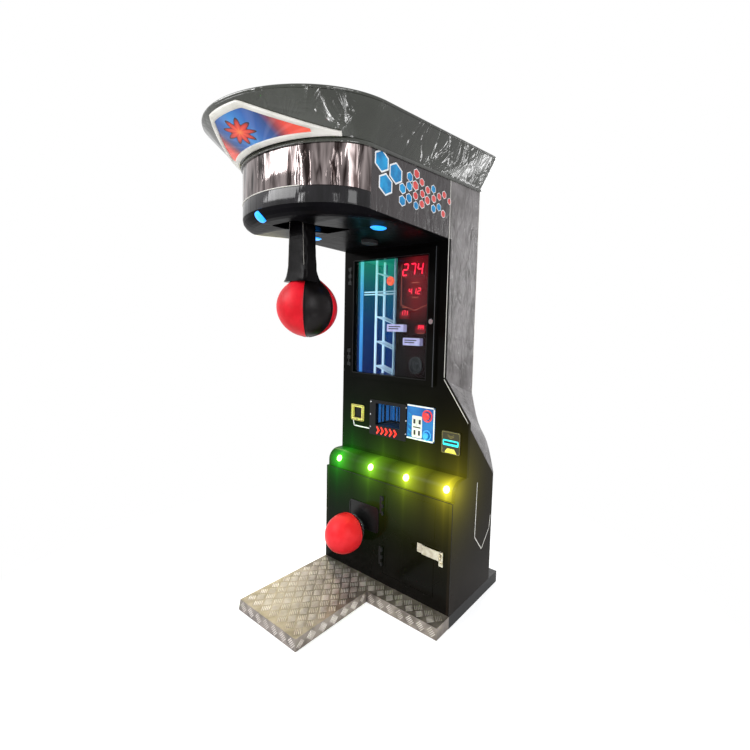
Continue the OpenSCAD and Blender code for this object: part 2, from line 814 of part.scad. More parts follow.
// The rear door's hinge half wraps its edge: knuckles with a short leaf on the face
module half_hinge_edge() {
    for (i = [1:2:knuckles - 1]) {
        knuckle(i);
        difference() {
            translate([-knuckle_r - 1.5, -knuckle_r, i * knuckle_l + end_float])
                cube([knuckle_r + 0.5, knuckle_r, knuckle_l - 2 * end_float]);
            translate([0, 0, -1]) cylinder(h = hinge_l + 2, r = knuckle_r - 0.5);
        }
    }
}

module cam_lock(y_face, y_tail, r, cam_l, dir) {
    bar_y(min(y_face, y_tail), max(y_face, y_tail), 0, 0, r);
    bar_y(min(y_face, y_face - dir * 3), max(y_face, y_face - dir * 3), 0, 0, r + 3);
    translate([-6, dir > 0 ? y_tail - 3 : y_tail, -cam_l]) cube([12, 3, cam_l]);
}

module rear_lock() {
    color("#c8cace") translate([rear_lock_x, 0, rear_lock_z])
        cam_lock(y_rear + rear_t, y_rear - 22, lock_r, 26, -1);
}

// Window door

lock_x = win_r - stile_lock / 2;
lock_z = win_z + lock_up;
glass_lap = 8;

module window_door() {
    seat = glass_t + 0.5;
    color("#0b0b0d") {
        difference() {
            facing(y_win, win_t - 0.3) translate([win_l, win_z]) rrect(win_w, win_h, 6);
            box(win_open[0], win_open[1], y_win - 1, y_col + 1, win_open[2], win_open[3]);
            box(win_open[0] - glass_lap, win_open[1] + glass_lap, y_col - seat, y_col + 1,
                win_open[2] - glass_lap, win_open[3] + glass_lap);
            bar_y(y_win - 1, y_col + 1, lock_x, lock_z, lock_r + run);
        }
        for (z = window_hinge_z) translate([window_pin[0], window_pin[1], z])
            for (i = [1:2:knuckles - 1]) {
                knuckle(i);
                difference() {
                    translate([0, -knuckle_r, i * knuckle_l + end_float])
                        cube([knuckle_r + 2.5, 6, knuckle_l - 2 * end_float]);
                    translate([0, 0, -1]) cylinder(h = hinge_l + 2, r = knuckle_r - 0.5);
                }
            }
    }
}

module window_glass() {
    color([0.7, 0.85, 0.9, 0.35])
        box(win_open[0] - glass_lap + 0.5, win_open[1] + glass_lap - 0.5,
            y_col - glass_t - 0.4, y_col - 0.4,
            win_open[2] - glass_lap + 0.5, win_open[3] + glass_lap - 0.5);
}

module window_lock() {
    color("#c8cace") translate([lock_x, 0, lock_z]) {
        bar_y(y_win, y_col - 0.6, 0, 0, lock_r);
        bar_y(y_win - 3, y_win, 0, 0, lock_r + 3);
    }
}

// Lined case behind the window, with the display and the prize rack

liner_t = 3;
case_back = y_in + case_d;
case_l = win_open[0] - 8;
case_r = win_open[1] + 8;
case_z0 = win_open[2] - 8;
case_z1 = win_open[3] + 8;
board_y = y_col + 48;
case_w = case_r - case_l;
case_h = case_z1 - case_z0;
board_w = case_w * 0.496;
board_l = case_r - board_w;

module window_liner() {
    color("#101a3a") difference() {
        box(case_l - liner_t, case_r + liner_t, y_in, case_back, case_z0 - liner_t, case_z1 + liner_t);
        box(case_l, case_r, y_in - 1, case_back - liner_t, case_z0, case_z1);
    }
}

shield_w = board_w * 0.73;
shield_l = board_l + board_w * 0.115;
shield_z = case_z0 + case_h * 0.538;
shield_h = case_z1 - 10 - shield_z;
module display_board() {
    color("#0b0a10") {
        difference() {
            box(board_l, case_r, board_y, board_y + 6, case_z0, case_z1);
            bar_y(board_y - 1, board_y + 7, speaker_x, speaker_z, speaker_r - 8);
        }
        facing(board_y - 4, 4) polygon([
            [shield_l + shield_w / 2, shield_z], [shield_l + shield_w, shield_z + shield_h * 0.12],
            [shield_l + shield_w, shield_z + shield_h], [shield_l, shield_z + shield_h],
            [shield_l, shield_z + shield_h * 0.12]
        ]);
    }
}

// Each read-out: left edge, lower edge, width and height, as shares of the shield's size
readouts = [
    [0.14, 0.64, 0.78, 0.25], [0.27, 0.31, 0.52, 0.13],
    [0.01, -0.1, 0.33, 0.13], [0.57, -0.36, 0.33, 0.13]
];
module digit_modules() {
    color("#3a0608") for (i = [0:3]) {
        r = readouts[i];
        y1 = i < 2 ? board_y - 4 : board_y;
        box(shield_l + r[0] * shield_w, shield_l + (r[0] + r[2]) * shield_w, y1 - 8, y1,
            shield_z + r[1] * shield_h, shield_z + (r[1] + r[3]) * shield_h);
    }
}

speaker_r = 44;
speaker_x = board_l + board_w * 0.55;
speaker_z = case_z0 + speaker_r + 21;
module speaker() {
    color("#15151a") translate([speaker_x, board_y, speaker_z]) rotate([90, 0, 0])
        rotate_extrude() polygon([
            [0, -26], [16, -26], [16, -12], [speaker_r - 9, -1], [speaker_r - 9, 0],
            [speaker_r, 0], [speaker_r, 5], [speaker_r - 7, 5], [speaker_r - 16, -4],
            [14, -9], [0, -4]
        ]);
}

rack_l = case_l + case_w * 0.204;
rack_w = case_w * 0.276;
rack_y = y_col + 49;
rack_fall = 17;
tube_room = 26;
shelf_share = [0.071, 0.289, 0.507, 0.887];
link_z = case_z0 + case_h * 0.698;
module prize_rack() {
    rail = 9;
    rack_d = 70;
    color("#d6e6ff") {
        for (x = [rack_l, rack_l + rack_w - rail], y = [rack_y, rack_y + rack_d - rail])
            box(x, x + rail, y, y + rail, case_z0, case_z1);
        for (f = shelf_share) let (z = case_z0 + case_h * f) difference() {
            translate([rack_l + rail / 2, rack_y + 1, z]) rotate([0, rack_fall, 0])
                cube([(rack_w - rail) / cos(rack_fall), rack_d - 2, 5]);
            box(rack_l - 20, rack_l + rail, rack_y - 1, rack_y + rack_d, z - 70, z + 20);
            box(rack_l + rack_w - rail, rack_l + rack_w + 20, rack_y - 1, rack_y + rack_d,
                z - 70, z + 20);
        }
        for (x = [rack_l, rack_l + rack_w - rail]) box(x, x + rail, rack_y + rail,
            rack_y + rack_d - rail, link_z, link_z + rail);
        for (z = [link_z, link_z + 13])
            box(case_l + tube_room, board_l, rack_y - 6, rack_y, z, z + 6);
    }
}

tube_r = 9;
tube_x = 14;
tube_step = 46;
module light_tubes() {
    color("#49c8ff") {
        translate([case_l + tube_x, board_y - tube_r - 1, case_z0])
            cylinder(h = case_z1 - case_z0, r = tube_r);
        translate([case_l + tube_x + tube_step, case_back - liner_t - tube_r - 1, case_z0])
            cylinder(h = case_z1 - case_z0, r = tube_r);
    }
}

// Controls on the fascia

plate_t = 3;
y_ctl = y_col - plate_t;

module button_plate() {
    color("#2466b0") difference() {
        facing(y_ctl, plate_t) translate([plate_l, plate_z]) rrect(plate_w, plate_h, 4);
        box(coin_mid - coin_way / 2, coin_mid + coin_way / 2, y_ctl - 1, y_col + 1,
            plate_z + 30, plate_z + 105);
        for (z = [red_z, blue_z]) bar_y(y_ctl - 1, y_col + 1, button_x, z, stem_r + run);
    }
}

prize_foot = 52;
flap_pin_r = 3;
flap_t = 4;
flap_y = y_col + 8;
flap_top = prize_z + prize_h - 8;
liner_wall = 3;

// Frame plate, with the lined chute behind it that the prize flap hangs in
module prize_frame() {
    color("#16161b") difference() {
        union() {
            facing(y_ctl, plate_t) translate([prize_l - prize_rim, prize_z - prize_foot])
                rrect(prize_w + 2 * prize_rim, prize_h + prize_foot + 13, 8);
            box(prize_l + 0.3, prize_l + prize_w - 0.3, y_col - 1, y_col + prize_d,
                prize_z + 0.3, prize_z + prize_h - 0.3);
        }
        box(prize_l + liner_wall, prize_l + prize_w - liner_wall, y_ctl - 1,
            y_col + prize_d - liner_wall, prize_z + liner_wall, prize_z + prize_h - liner_wall);
        bar_x(prize_l - 0.5, prize_l + prize_w + 0.5, flap_y, flap_top, flap_pin_r + run);
    }
}

module prize_flap() {
    color([0.35, 0.6, 1, 0.6]) {
        bar_x(prize_l + 0.8, prize_l + prize_w - 0.8, flap_y, flap_top, flap_pin_r);
        box(prize_l + liner_wall + 1.5, prize_l + prize_w - liner_wall - 1.5,
            flap_y - flap_t / 2, flap_y + flap_t / 2, prize_z + liner_wall + 2, flap_top);
    }
}

module coin_entry() {
    color("#e6e4de") difference() {
        facing(y_ctl - plate_t, plate_t) translate([coin_l, plate_z + 12]) rrect(coin_w, coin_h, 5);
        box(coin_mid - coin_slot / 2, coin_mid + coin_slot / 2, y_ctl - plate_t - 1, y_ctl + 1,
            plate_z + 70, plate_z + 102);
    }
}

module coin_mech() {
    color("#5a6068") difference() {
        box(coin_mid - mech_w / 2, coin_mid + mech_w / 2, y_in, y_in + mech_d,
            plate_z + 2, plate_z + 2 + mech_h);
        box(coin_mid - 2, coin_mid + 2, y_in - 1, y_in + mech_d - 30, plate_z + 64, plate_z + 108);
        box(coin_mid - coin_way / 2, coin_mid + coin_way / 2, y_in + 20, y_in + mech_d - 20,
            plate_z + 1, plate_z + 70);
    }
}

module push_button(z, r) {
    translate([button_x, y_ctl, z]) rotate([90, 0, 0]) {
        translate([0, 0, button_travel + 4]) rotate_extrude() polygon(concat(
            [[0, 0], [r - 5, 0]],
            [for (a = [0:15:90]) [(r - 5) * pow(cos(a), 0.6), 2 + 5 * sin(a)]]));
        translate([0, 0, -board_t - plate_t - 6])
            cylinder(h = board_t + plate_t + button_travel + 10, r = stem_r);
        translate([0, 0, -board_t - plate_t - 6]) cylinder(h = 4, r = stem_r + 3);
    }
}

module red_button() {
    color("#e0322f") push_button(red_z, red_r);
}

module blue_button() {
    color("#2aa7e8") push_button(blue_z, blue_r);
}

cup_d = 60;
cup_bezel_t = 6;
cup_foot = 10;
cup_pin_z = cup_z + cup_h - 8;
module return_cup() {
    color("#d8c23a") difference() {
        union() {
            facing(y_col - cup_bezel_t, cup_bezel_t) translate([cup_l - cup_rim, cup_z - cup_foot])
                rrect(cup_w + 2 * cup_rim, cup_h + 2 * cup_foot, 5);
            box(cup_l + 0.3, cup_l + cup_w - 0.3, y_col - 1, y_col + cup_d,
                cup_z + 0.3, cup_z + cup_h - 0.3);
        }
        box(cup_l + liner_wall, cup_l + cup_w - liner_wall, y_col - cup_bezel_t - 1,
            y_col + cup_d - liner_wall,
            cup_z + liner_wall, cup_z + cup_h - liner_wall);
        bar_x(cup_l - 0.5, cup_l + cup_w + 0.5, y_col + 6, cup_pin_z, 2 + run);
    }
}

module return_flap() {
    color("#2b2b22") {
        bar_x(cup_l + 0.8, cup_l + cup_w - 0.8, y_col + 6, cup_pin_z, 2);
        box(cup_l + liner_wall + 1, cup_l + cup_w - liner_wall - 1, y_col + 4.5, y_col + 7.5,
            cup_z + liner_wall + 1.5, cup_pin_z);
    }
}

note_mouth_h = 10;
note_plate_t = 8;
note_body_d = 150;
module note_entry() {
    mouth_z = note_z + 48;
    seat = 0.3;
    color("#8a7a3c") difference() {
        union() {
            facing(y_col - note_plate_t, note_plate_t) translate([note_l, note_z])
                rrect(note_w, note_w + 2, 7);
            box(note_l + note_wall + seat, note_l + note_wall - seat + note_throat, y_col, y_col + note_body_d,
                note_z + note_wall + seat, note_z + note_wall - seat + note_throat);
        }
        box(note_l + note_w / 2 - note_mouth / 2, note_l + note_w / 2 + note_mouth / 2,
            y_col - note_plate_t - 1, y_col + 30, mouth_z, mouth_z + note_mouth_h);
    }
}

// Head: nose band, floor, hood and marquee

nose_n = 48;
function nose_line(a, b) = [for (i = [0:nose_n])
    [x_mid + a * cos(180 * i / nose_n), y_str - b * sin(180 * i / nose_n)]];

module nose_band() {
    top = lip_z(y_str) + 8;
    color("#2a2322") difference() {
        translate([0, 0, floor_z]) linear_extrude(top - floor_z) polygon(concat(
            nose_line(half, nose_d),
            [for (i = [nose_n:-1:0]) nose_line(half - band_t, nose_d - band_t)[i]]));
        translate([x_mid - half - 10, y_str, top]) rotate([atan(lip_slope), 0, 0])
            mirror([0, 1, 0]) cube([head_w + 20, nose_d + 60, 80]);
    }
}

side_n = 7;

// Outline of the head or hood in plan: two straight sides that end at ys, a half ellipse
// of half width a and depth b in front, and a straight back at yb with corners of radius rc
function ring(a, b, ys, yb, rc) = concat(
    [for (k = [0:30:90]) [x_mid + a - rc + rc * sin(k), yb - rc + rc * cos(k)]],
    [for (i = [1:side_n - 1]) [x_mid + a, lerp(yb - rc, ys, i / side_n)]],
    [for (i = [0:36]) [x_mid + a * cos(5 * i), ys - b * sin(5 * i)]],
    [for (i = [1:side_n - 1]) [x_mid - a, lerp(ys, yb - rc, i / side_n)]],
    [for (k = [90:-30:0]) [x_mid - a + rc - rc * sin(k), yb - rc + rc * cos(k)]]);

// Level strips across a ring that is symmetric about x_mid; dir turns their faces up or down
function cap(n, dir) = [for (k = [0:(n - 3) / 2], h = [0, 1])
    let (a = k, b = k + 1, c = n - 2 - k, d = n - 1 - k)
    if (h == 0 || b != c) dir > 0 ? (h == 0 ? [a, b, d] : [b, c, d]) : (h == 0 ? [d, b, a] : [d, c, b])];

// Closed skin through a stack of rings of equal length, capped at both ends
module loft(rings) {
    n = len(rings[0]);
    m = len(rings);
    polyhedron([for (r = rings) each r], concat(
        cap(n, -1),
        [for (j = [0:m - 2], k = [0:n - 1], h = [0, 1])
            let (a = j * n + k, b = j * n + (k + 1) % n)
            h == 0 ? [a, b, a + n] : [b, b + n, a + n]],
        [for (f = cap(n, 1)) [for (v = f) v + (m - 1) * n]]));
}

slot_w = sleeve_w + 22;
slot_front = y_str - 118;
slot_back = y_str + 150;
floor_t = 15;
floor_lift = 12;
spot_r = 27;
spot_flange = 6;
spot_lip = 4;

// Moulded pan under the head: its edge curls in with the section of a quarter ellipse,
// and its bottom rises from the nose to the column
pan_back = 8;
pan_t = 5;
pan_y0 = y_str - 60;
pan_y1 = lerp(y_str, y_col - 1, 2 / side_n);
spot_gap = 8;
lamp_spots = [for (s = [-1, 1]) [x_mid + s * half * 0.6, pan_y1 + spot_gap + spot_flange + spot_r]];
curl_step = 22.5;
function pan_fall(y) = lerp(pan_depth, pan_back, max(0, min(1, (y - pan_y0) / (pan_y1 - pan_y0))));
function pan_ring(off, share, dz) = [for (p = ring(half - off, nose_d - off, y_str, y_col, 1))
    [p[0], p[1], floor_z - pan_fall(p[1]) * share + dz]];
function pan_rings(o, dz) = [for (a = [90:-curl_step:0])
    pan_ring(o + pan_curl * (1 - cos(a)), sin(a), dz)];

// The nose lamp looks out of the curl, halfway round it
nose_lamp_r = 22;
nose_lamp_a = 98;
nose_lamp_l = 14;
nose_lamp_dome = 8;
curl_mid = pan_curl * (1 - cos(45));
module at_nose_lamp() {
    translate([x_mid + (half - curl_mid) * cos(nose_lamp_a),
        y_str - (nose_d - curl_mid) * sin(nose_lamp_a), floor_z - pan_depth * sin(45)])
        rotate([0, 0, 90 - atan2(sin(nose_lamp_a) / nose_d, cos(nose_lamp_a) / half)])
            rotate([135, 0, 0]) children();
}

module head_floor() {
    color("#0e0e12") {
        translate([0, 0, floor_z + floor_lift]) linear_extrude(floor_t) difference() {
            polygon(concat(nose_line(half - band_t, nose_d - band_t),
                [[inner_l, y_str], [inner_l, y_col], [x_head - board_t, y_col],
                    [x_head - board_t, y_str]]));
            translate([x_mid - slot_w / 2, slot_front]) rrect(slot_w, slot_back - slot_front, 14);
            for (p = lamp_spots) translate(p) circle(spot_r);
        }
        difference() {
            loft(pan_rings(0, 0));
            loft(concat(pan_rings(pan_t, pan_t), [pan_ring(pan_t, 0, pan_t + 20)]));
            translate([x_mid - slot_w / 2, slot_front, floor_z - pan_depth - 1])
                linear_extrude(pan_depth + 20) rrect(slot_w, slot_back - slot_front, 14);
            for (p = lamp_spots) translate([p[0], p[1], floor_z - pan_back - 1])
                cylinder(h = pan_back + 20, r = spot_r);
            at_nose_lamp() cylinder(h = 60, r = nose_lamp_r + 0.2, center = true);
        }
    }
}

module downlights() {
    color("#3aa0ff") {
        for (p = lamp_spots) translate([p[0], p[1], floor_z - pan_back]) {
            cylinder(h = pan_back + floor_lift + floor_t + 12, r = spot_r - 0.2);
            translate([0, 0, -spot_lip]) rotate_extrude() polygon([
                [0, 0], [spot_r, 0], [spot_r + spot_flange, spot_lip], [0, spot_lip]
            ]);
        }
        difference() {
            union() {
                at_nose_lamp() translate([0, 0, -nose_lamp_l]) rotate_extrude() polygon(concat(
                    [[0, 0], [nose_lamp_r, 0]],
                    [for (a = [0:15:90])
                        [nose_lamp_r * cos(a), nose_lamp_l + nose_lamp_dome * sin(a)]]));
                at_nose_lamp() translate([0, 0, -nose_lamp_l]) rotate([-135, 0, 0])
                    cylinder(h = pan_depth + 20, r = 7);
            }
            translate([x_left, y_str - nose_d, floor_z + floor_lift]) cube([head_w, nose_d, 60]);
        }
    }
}

function foot_ring(off, dz, rc = 1) = [for (p = ring(half + off, nose_d + off, y_str,
    y_rear + off, rc)) [p[0], p[1], lip_z(p[1]) + dz]];
function rim_ring(off, dz) = [for (p = ring(half + hood_side + off, nose_d + hood_front + off,
    y_str, y_hood + off, hood_corner)) [p[0], p[1], rim_at(p[1]) + dz]];

y_crown = y_hood - 135;
rim_band = 12;
crown_steps = [0.008, 0.04, 0.2, 0.45, 0.72, 1];
crown = min([for (s = crown_steps)
    (overall_h - rim_band - rim_at(lerp(y_hood, y_crown, s))) / (1 - pow(1 - s, 2))]);
spine = ring(26, 20, y_str + 90, y_crown, 4);
function crown_ring(s, off, dz) = let (r = rim_ring(off, 0)) [for (i = [0:len(r) - 1])
    let (x = lerp(r[i][0], spine[i][0], s), y = lerp(r[i][1], spine[i][1], s))
    [x, y, rim_at(y) + rim_band + crown * (1 - pow(1 - s, 2)) + dz]];
function wall_ring(t, off, dz) = let (a = foot_ring(off, 0), b = rim_ring(off, 0))
    [for (i = [0:len(a) - 1]) lerp(a[i], b[i], t) + [0, 0, dz]];

// Flared hood: a dark lip at its foot, an inclined skirt all round, a folded rim
// and a shallow crown, as one moulded shell open underneath
module hood_shell() {
    seat = 0.3;
    lip_t = seat + hood_t + 1;
    color("#20221f") difference() {
        loft(concat(
            [foot_ring(lip_t - 1, -lip_h, 5), foot_ring(lip_t, -lip_h + 2, 6), foot_ring(lip_t, 0, 6)],
            [for (t = [0.04, 0.35, 0.65, 0.94]) wall_ring(t, 0, 0)],
            [rim_ring(-1, -1), rim_ring(0, 3), rim_ring(0, rim_band - 3)],
            [for (s = crown_steps) crown_ring(s, 0, 0)]));
        loft(concat(
            [foot_ring(seat, -lip_h - 2), foot_ring(seat, 0)],
            [for (t = [0.12, 0.9]) wall_ring(t, -hood_t, 0)],
            [rim_ring(-hood_t - 1, 0)],
            [for (s = [0.03, 0.2, 0.45, 0.72, 1]) crown_ring(s, -hood_t, -hood_t)]));
    }
}

// Points on the hood's skirt round the nose: angle a from the right side, height share t
// and distance o out of the surface
function on_foot(a) = let (y = y_str - nose_d * sin(a)) [x_mid + half * cos(a), y, lip_z(y)];
function on_rim(a) = let (y = y_str - (nose_d + hood_front) * sin(a))
    [x_mid + (half + hood_side) * cos(a), y, rim_at(y)];
function unit(v) = v / norm(v);
function skirt(a, t, o) =
    let (p = lerp(on_foot(a), on_rim(a), t),
        q = lerp(on_foot(a + 1), on_rim(a + 1), t),
        n = unit(cross(on_rim(a) - on_foot(a), q - p)))
    p + o * (n[0] * cos(a) - n[1] * sin(a) > 0 ? n : -n);

// A thin curved plate on the skirt between two edge functions of the angle
module skirt_plate(a0, a1, lo, hi, o0, o1) {
    na = 36;
    nt = 4;
    w = nt + 1;
    grid = [for (o = [o0, o1], i = [0:na], j = [0:nt])
        let (a = lerp(a0, a1, i / na)) skirt(a, lerp(lo(a), hi(a), j / nt), o)];
    k = (na + 1) * w;
    quads = concat(
        [for (i = [0:na - 1], j = [0:nt - 1])
            [i * w + j, i * w + j + 1, (i + 1) * w + j + 1, (i + 1) * w + j]],
        [for (i = [0:na - 1], j = [0:nt - 1])
            [k + i * w + j, k + (i + 1) * w + j, k + (i + 1) * w + j + 1, k + i * w + j + 1]],
        [for (i = [0:na - 1]) [i * w, (i + 1) * w, k + (i + 1) * w, k + i * w]],
        [for (i = [0:na - 1]) [i * w + nt, k + i * w + nt, k + (i + 1) * w + nt, (i + 1) * w + nt]],
        [for (j = [0:nt - 1]) [j, k + j, k + j + 1, j + 1]],
        [for (j = [0:nt - 1]) let (e = na * w) [e + j, e + j + 1, k + e + j + 1, k + e + j]]);
    polyhedron(grid, [for (q = quads, h = [0, 1]) h == 0 ? [q[0], q[1], q[2]] : [q[0], q[2], q[3]]]);
}

// The marquee's outline: a leaf that is full over the nose and thins to both sides
marquee_a = 61;
marquee_low = 0.05;
frame_share = 0.15;
marquee_rise = function (a) let (d = abs(a - 90))
    0.17 + 0.77 * pow(max(0, min(1, 1 - (d - 12) / 50)), 1.6);
marquee_foot = function (a) marquee_low;
inner_rise = function (a) marquee_rise(a) - frame_share;
inner_foot = function (a) marquee_low + frame_share;
inner_a = 41;

module marquee_frame() {
    color("#e4e2da") difference() {
        skirt_plate(90 - marquee_a, 90 + marquee_a, marquee_foot, marquee_rise, 0.3, 9);
        skirt_plate(90 - inner_a, 90 + inner_a, inner_foot, inner_rise, -3, 12);
    }
}

module marquee_panel() {
    edge = 0.004;
    foot = function (a) inner_foot(a) + edge;
    rise = function (a) inner_rise(a) - edge;
    color("#2b62b8") skirt_plate(90.3 - inner_a + 0.3, 89.7 + inner_a - 0.3, foot, rise, 0.4, 5);
}

// Swinging arm and ball

px = x_mid;
py = y_str + pivot_y;
pz = floor_z + pivot_rise;
floor_top = floor_z + floor_lift + floor_t;
y_tube = py - tube_set;
ball_y = py + ball_set;
ball_z = pz - ball_drop;
neck_r = 44;
neck_top = ball_z + ball_r + 40;
boss_r = 24;
boss_l = 70;
block_t = 30;
block_x = slot_w / 2 + 8;
catch_r = 52;
catch_pin_r = 5;
hook_y = py - 110;
hook_z = pz + 22;
hook_tail = 28;
hook_x = 15;
hook_t = 8;
hook_lift = 25;

block_foot = 80;
block_foot_t = 8;
tab_t = 6;
tab_r = 14;
tab_foot = 20;
tab_foot_t = 5;
hook_pin_r = 4;

module pivot_frame() {
    tab_x = px + hook_x + hook_t + 1;
    color("#4a4d52") {
        for (s = [-1, 1]) let (x = px + s * (block_x + block_t / 2) - block_t / 2) difference() {
            union() {
                translate([x, py - block_foot / 2, floor_top]) cube([block_t, block_foot, block_foot_t]);
                translate([x, py - boss_r, floor_top]) cube([block_t, 2 * boss_r, pz - floor_top]);
                bar_x(x, x + block_t, py, pz, boss_r);
            }
            bar_x(px - block_x - block_t - 1, px + block_x + block_t + 1, py, pz, shaft_r + 0.03);
        }
        difference() {
            union() {
                box(tab_x, tab_x + tab_t, hook_y - tab_r, hook_y + tab_r, floor_top, hook_z + tab_r);
                box(px - tab_foot, tab_x + tab_t, hook_y - tab_r, hook_y + tab_r / 2,
                    floor_top, floor_top + tab_foot_t);
            }
            bar_x(px, tab_x + 2 * tab_t, hook_y, hook_z, hook_pin_r + run);
        }
    }
}

module pivot_shaft() {
    reach = block_x + block_t;
    color("#d5d7da") {
        bar_x(px - reach, px + reach, py, pz, shaft_r);
        for (s = [-1, 1]) bar_x(px + s * (reach + 2) - 2, px + s * (reach + 2) + 2, py, pz, shaft_r + 4);
    }
}

module swing_arm() {
    tail_w = 18;
    color("#34363a") difference() {
        union() {
            bar_x(px - boss_l / 2, px + boss_l / 2, py, pz, boss_r);
            box(px - arm_tube / 2, px + arm_tube / 2, y_tube - arm_tube / 2, y_tube + arm_tube / 2,
                neck_top, pz);
            box(px - tail_w / 2, px + tail_w / 2, py - 7, py + 7, pz, pz + catch_r + 8);
            bar_x(px - tail_w / 2, px + hook_x + hook_t + 3, py, pz + catch_r, catch_pin_r);
        }
        bar_x(px - boss_l, px + boss_l, py, pz, shaft_r + run);
    }
}

// Pear profile: a ball that runs into a neck
function pear(off) = concat(
    [[0, -ball_r - off]],
    [for (a = [-80:10:40]) [(ball_r + off) * cos(a), (ball_r + off) * sin(a)]],
    [[neck_r + 20 + off, ball_r * 0.90], [neck_r + 5 + off, ball_r * 1.08],
        [neck_r + off, ball_r * 1.22], [neck_r + off, neck_top - ball_z + off],
        [0, neck_top - ball_z + off]]);

gore_black = 62;
gore_turn = -90 + 77;
module bag() {
    translate([px, ball_y, ball_z]) for (i = [0, 1]) {
        color("#17161a") rotate(gore_turn - gore_black / 2 + 180 * i)
            rotate_extrude(angle = gore_black) polygon(pear(0));
        color("#e11b26") rotate(gore_turn + gore_black / 2 + 180 * i)
            rotate_extrude(angle = 180 - gore_black) polygon(pear(0));
    }
}

// Leather sleeve over the front of the arm and of the bag's neck
sleeve_taper = 27;
sleeve_front = 38;
sleeve_back = 3;
sleeve_gap = 22;
sleeve_r = 12;
module arm_sleeve() {
    top_w = sleeve_w - sleeve_taper;
    y_s0 = y_tube - sleeve_front;
    y_s1 = y_tube + arm_tube / 2 + sleeve_back;
    z_s0 = ball_z + ball_r * 0.84;
    z_s1 = pz - boss_r - sleeve_gap;
    r = sleeve_r;
    color("#1a191b") difference() {
        hull() {
            for (s = [-1, 1], y = [y_s0 + r, y_s1 - r]) {
                translate([px + s * (top_w / 2 - r), y, z_s1 - 1]) cylinder(h = 1, r = r, $fn = 32);
                translate([px + s * (sleeve_w / 2 - r), y, z_s0]) cylinder(h = 1, r = r, $fn = 32);
            }
        }
        box(px - arm_tube / 2 - 0.3, px + arm_tube / 2 + 0.3, y_tube - arm_tube / 2 - 0.3,
            y_tube + arm_tube / 2 + 0.3, z_s0 - 1, z_s1 + 1);
        translate([px, ball_y, ball_z]) rotate_extrude() polygon(pear(0.4));
    }
}

// Rubber stop under the head's floor, where the ball comes to rest at the top of its swing
stop_y = py + ball_set * cos(swing_up) + ball_drop * sin(swing_up);
stop_z = pz + ball_set * sin(swing_up) - ball_drop * cos(swing_up) + ball_r;
module stop_pad() {
    color("#202024") {
        translate([px, stop_y - 6, stop_z + 4])
            cylinder(h = floor_z - pan_back - 0.02 - stop_z - 4, r = 38);
    }
}

// Latch: the hook drops over the arm's catch pin and holds the ball up between games.
// It is drawn lifted; turned down by hook_lift its claw meets the pin's upper side.
module latch_hook() {
    pin_a = swing_up;
    cy = -catch_r * sin(pin_a) + py - hook_y;
    cz = catch_r * cos(pin_a) + pz - hook_z;
    clear = catch_pin_r + 1;
    color("#8f9499") translate([px + hook_x, hook_y, hook_z]) {
        rotate([hook_lift, 0, 0]) difference() {
            rotate([90, 0, 90]) linear_extrude(hook_t) polygon([
                [-hook_tail - 6, -5], [0, -8], [8, -4], [cy - clear - 4, cz + clear],
                [cy + clear, cz + clear], [cy + clear, cz - 2], [cy + clear + 7, cz - 2],
                [cy + clear + 7, cz + clear + 10], [0, 9], [-hook_tail - 6, 3]
            ]);
            bar_x(-1, hook_t + 1, 0, 0, hook_pin_r + run);
        }
    }
    color("#d5d7da") bar_x(px + hook_x - 2, px + hook_x + hook_t + tab_t + 3,
        hook_y, hook_z, hook_pin_r);
}

sol_y = hook_y - hook_tail;
sol_top = hook_z - 30;
sol_r = 13;
sol_floor = 4;
plunger_r = 4;
module latch_solenoid() {
    color("#b3922e") translate([px + hook_x + hook_t / 2, sol_y, floor_top]) difference() {
        cylinder(h = sol_top - floor_top, r = sol_r);
        translate([0, 0, sol_floor]) cylinder(h = sol_top, r = plunger_r + run);
    }
}

module solenoid_plunger() {
    tail_z = hook_z - hook_tail * sin(hook_lift) - 8;
    color("#d5d7da") translate([px + hook_x + hook_t / 2, sol_y, floor_top + 2 * sol_floor])
        cylinder(h = tail_z - floor_top - 2 * sol_floor, r = plunger_r);
}

base_frame();
tread_plate();
lower_side_left();
lower_side_right();
lower_front();
lower_back();
nosing();
led_lamps();
kick_cushion();
kick_plunger();
kick_guide();
kick_spring();
cover_plate();
service_door();
hasp_leaf();
hasp_strap();
hasp_staple();
cash_box();
shoulder_panel();
fascia();
side_left();
side_right();
back_panel();
rear_door();
rear_lock();
hinges();
window_door();
window_glass();
window_lock();
window_liner();
display_board();
digit_modules();
speaker();
prize_rack();
light_tubes();
button_plate();
prize_frame();
prize_flap();
coin_entry();
coin_mech();
red_button();
blue_button();
return_cup();
return_flap();
note_entry();
nose_band();
head_floor();
hood_shell();
marquee_frame();
marquee_panel();
downlights();
pivot_frame();
pivot_shaft();
swing_arm();
arm_sleeve();
bag();
stop_pad();
latch_hook();
latch_solenoid();
solenoid_plunger();
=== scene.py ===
"""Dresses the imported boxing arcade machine: its surfaces, finishes, lights and camera."""

import logging
from collections.abc import Callable
from dataclasses import dataclass
from enum import Enum
from math import radians

import bpy
import numpy as np
from mathutils import Matrix, Vector


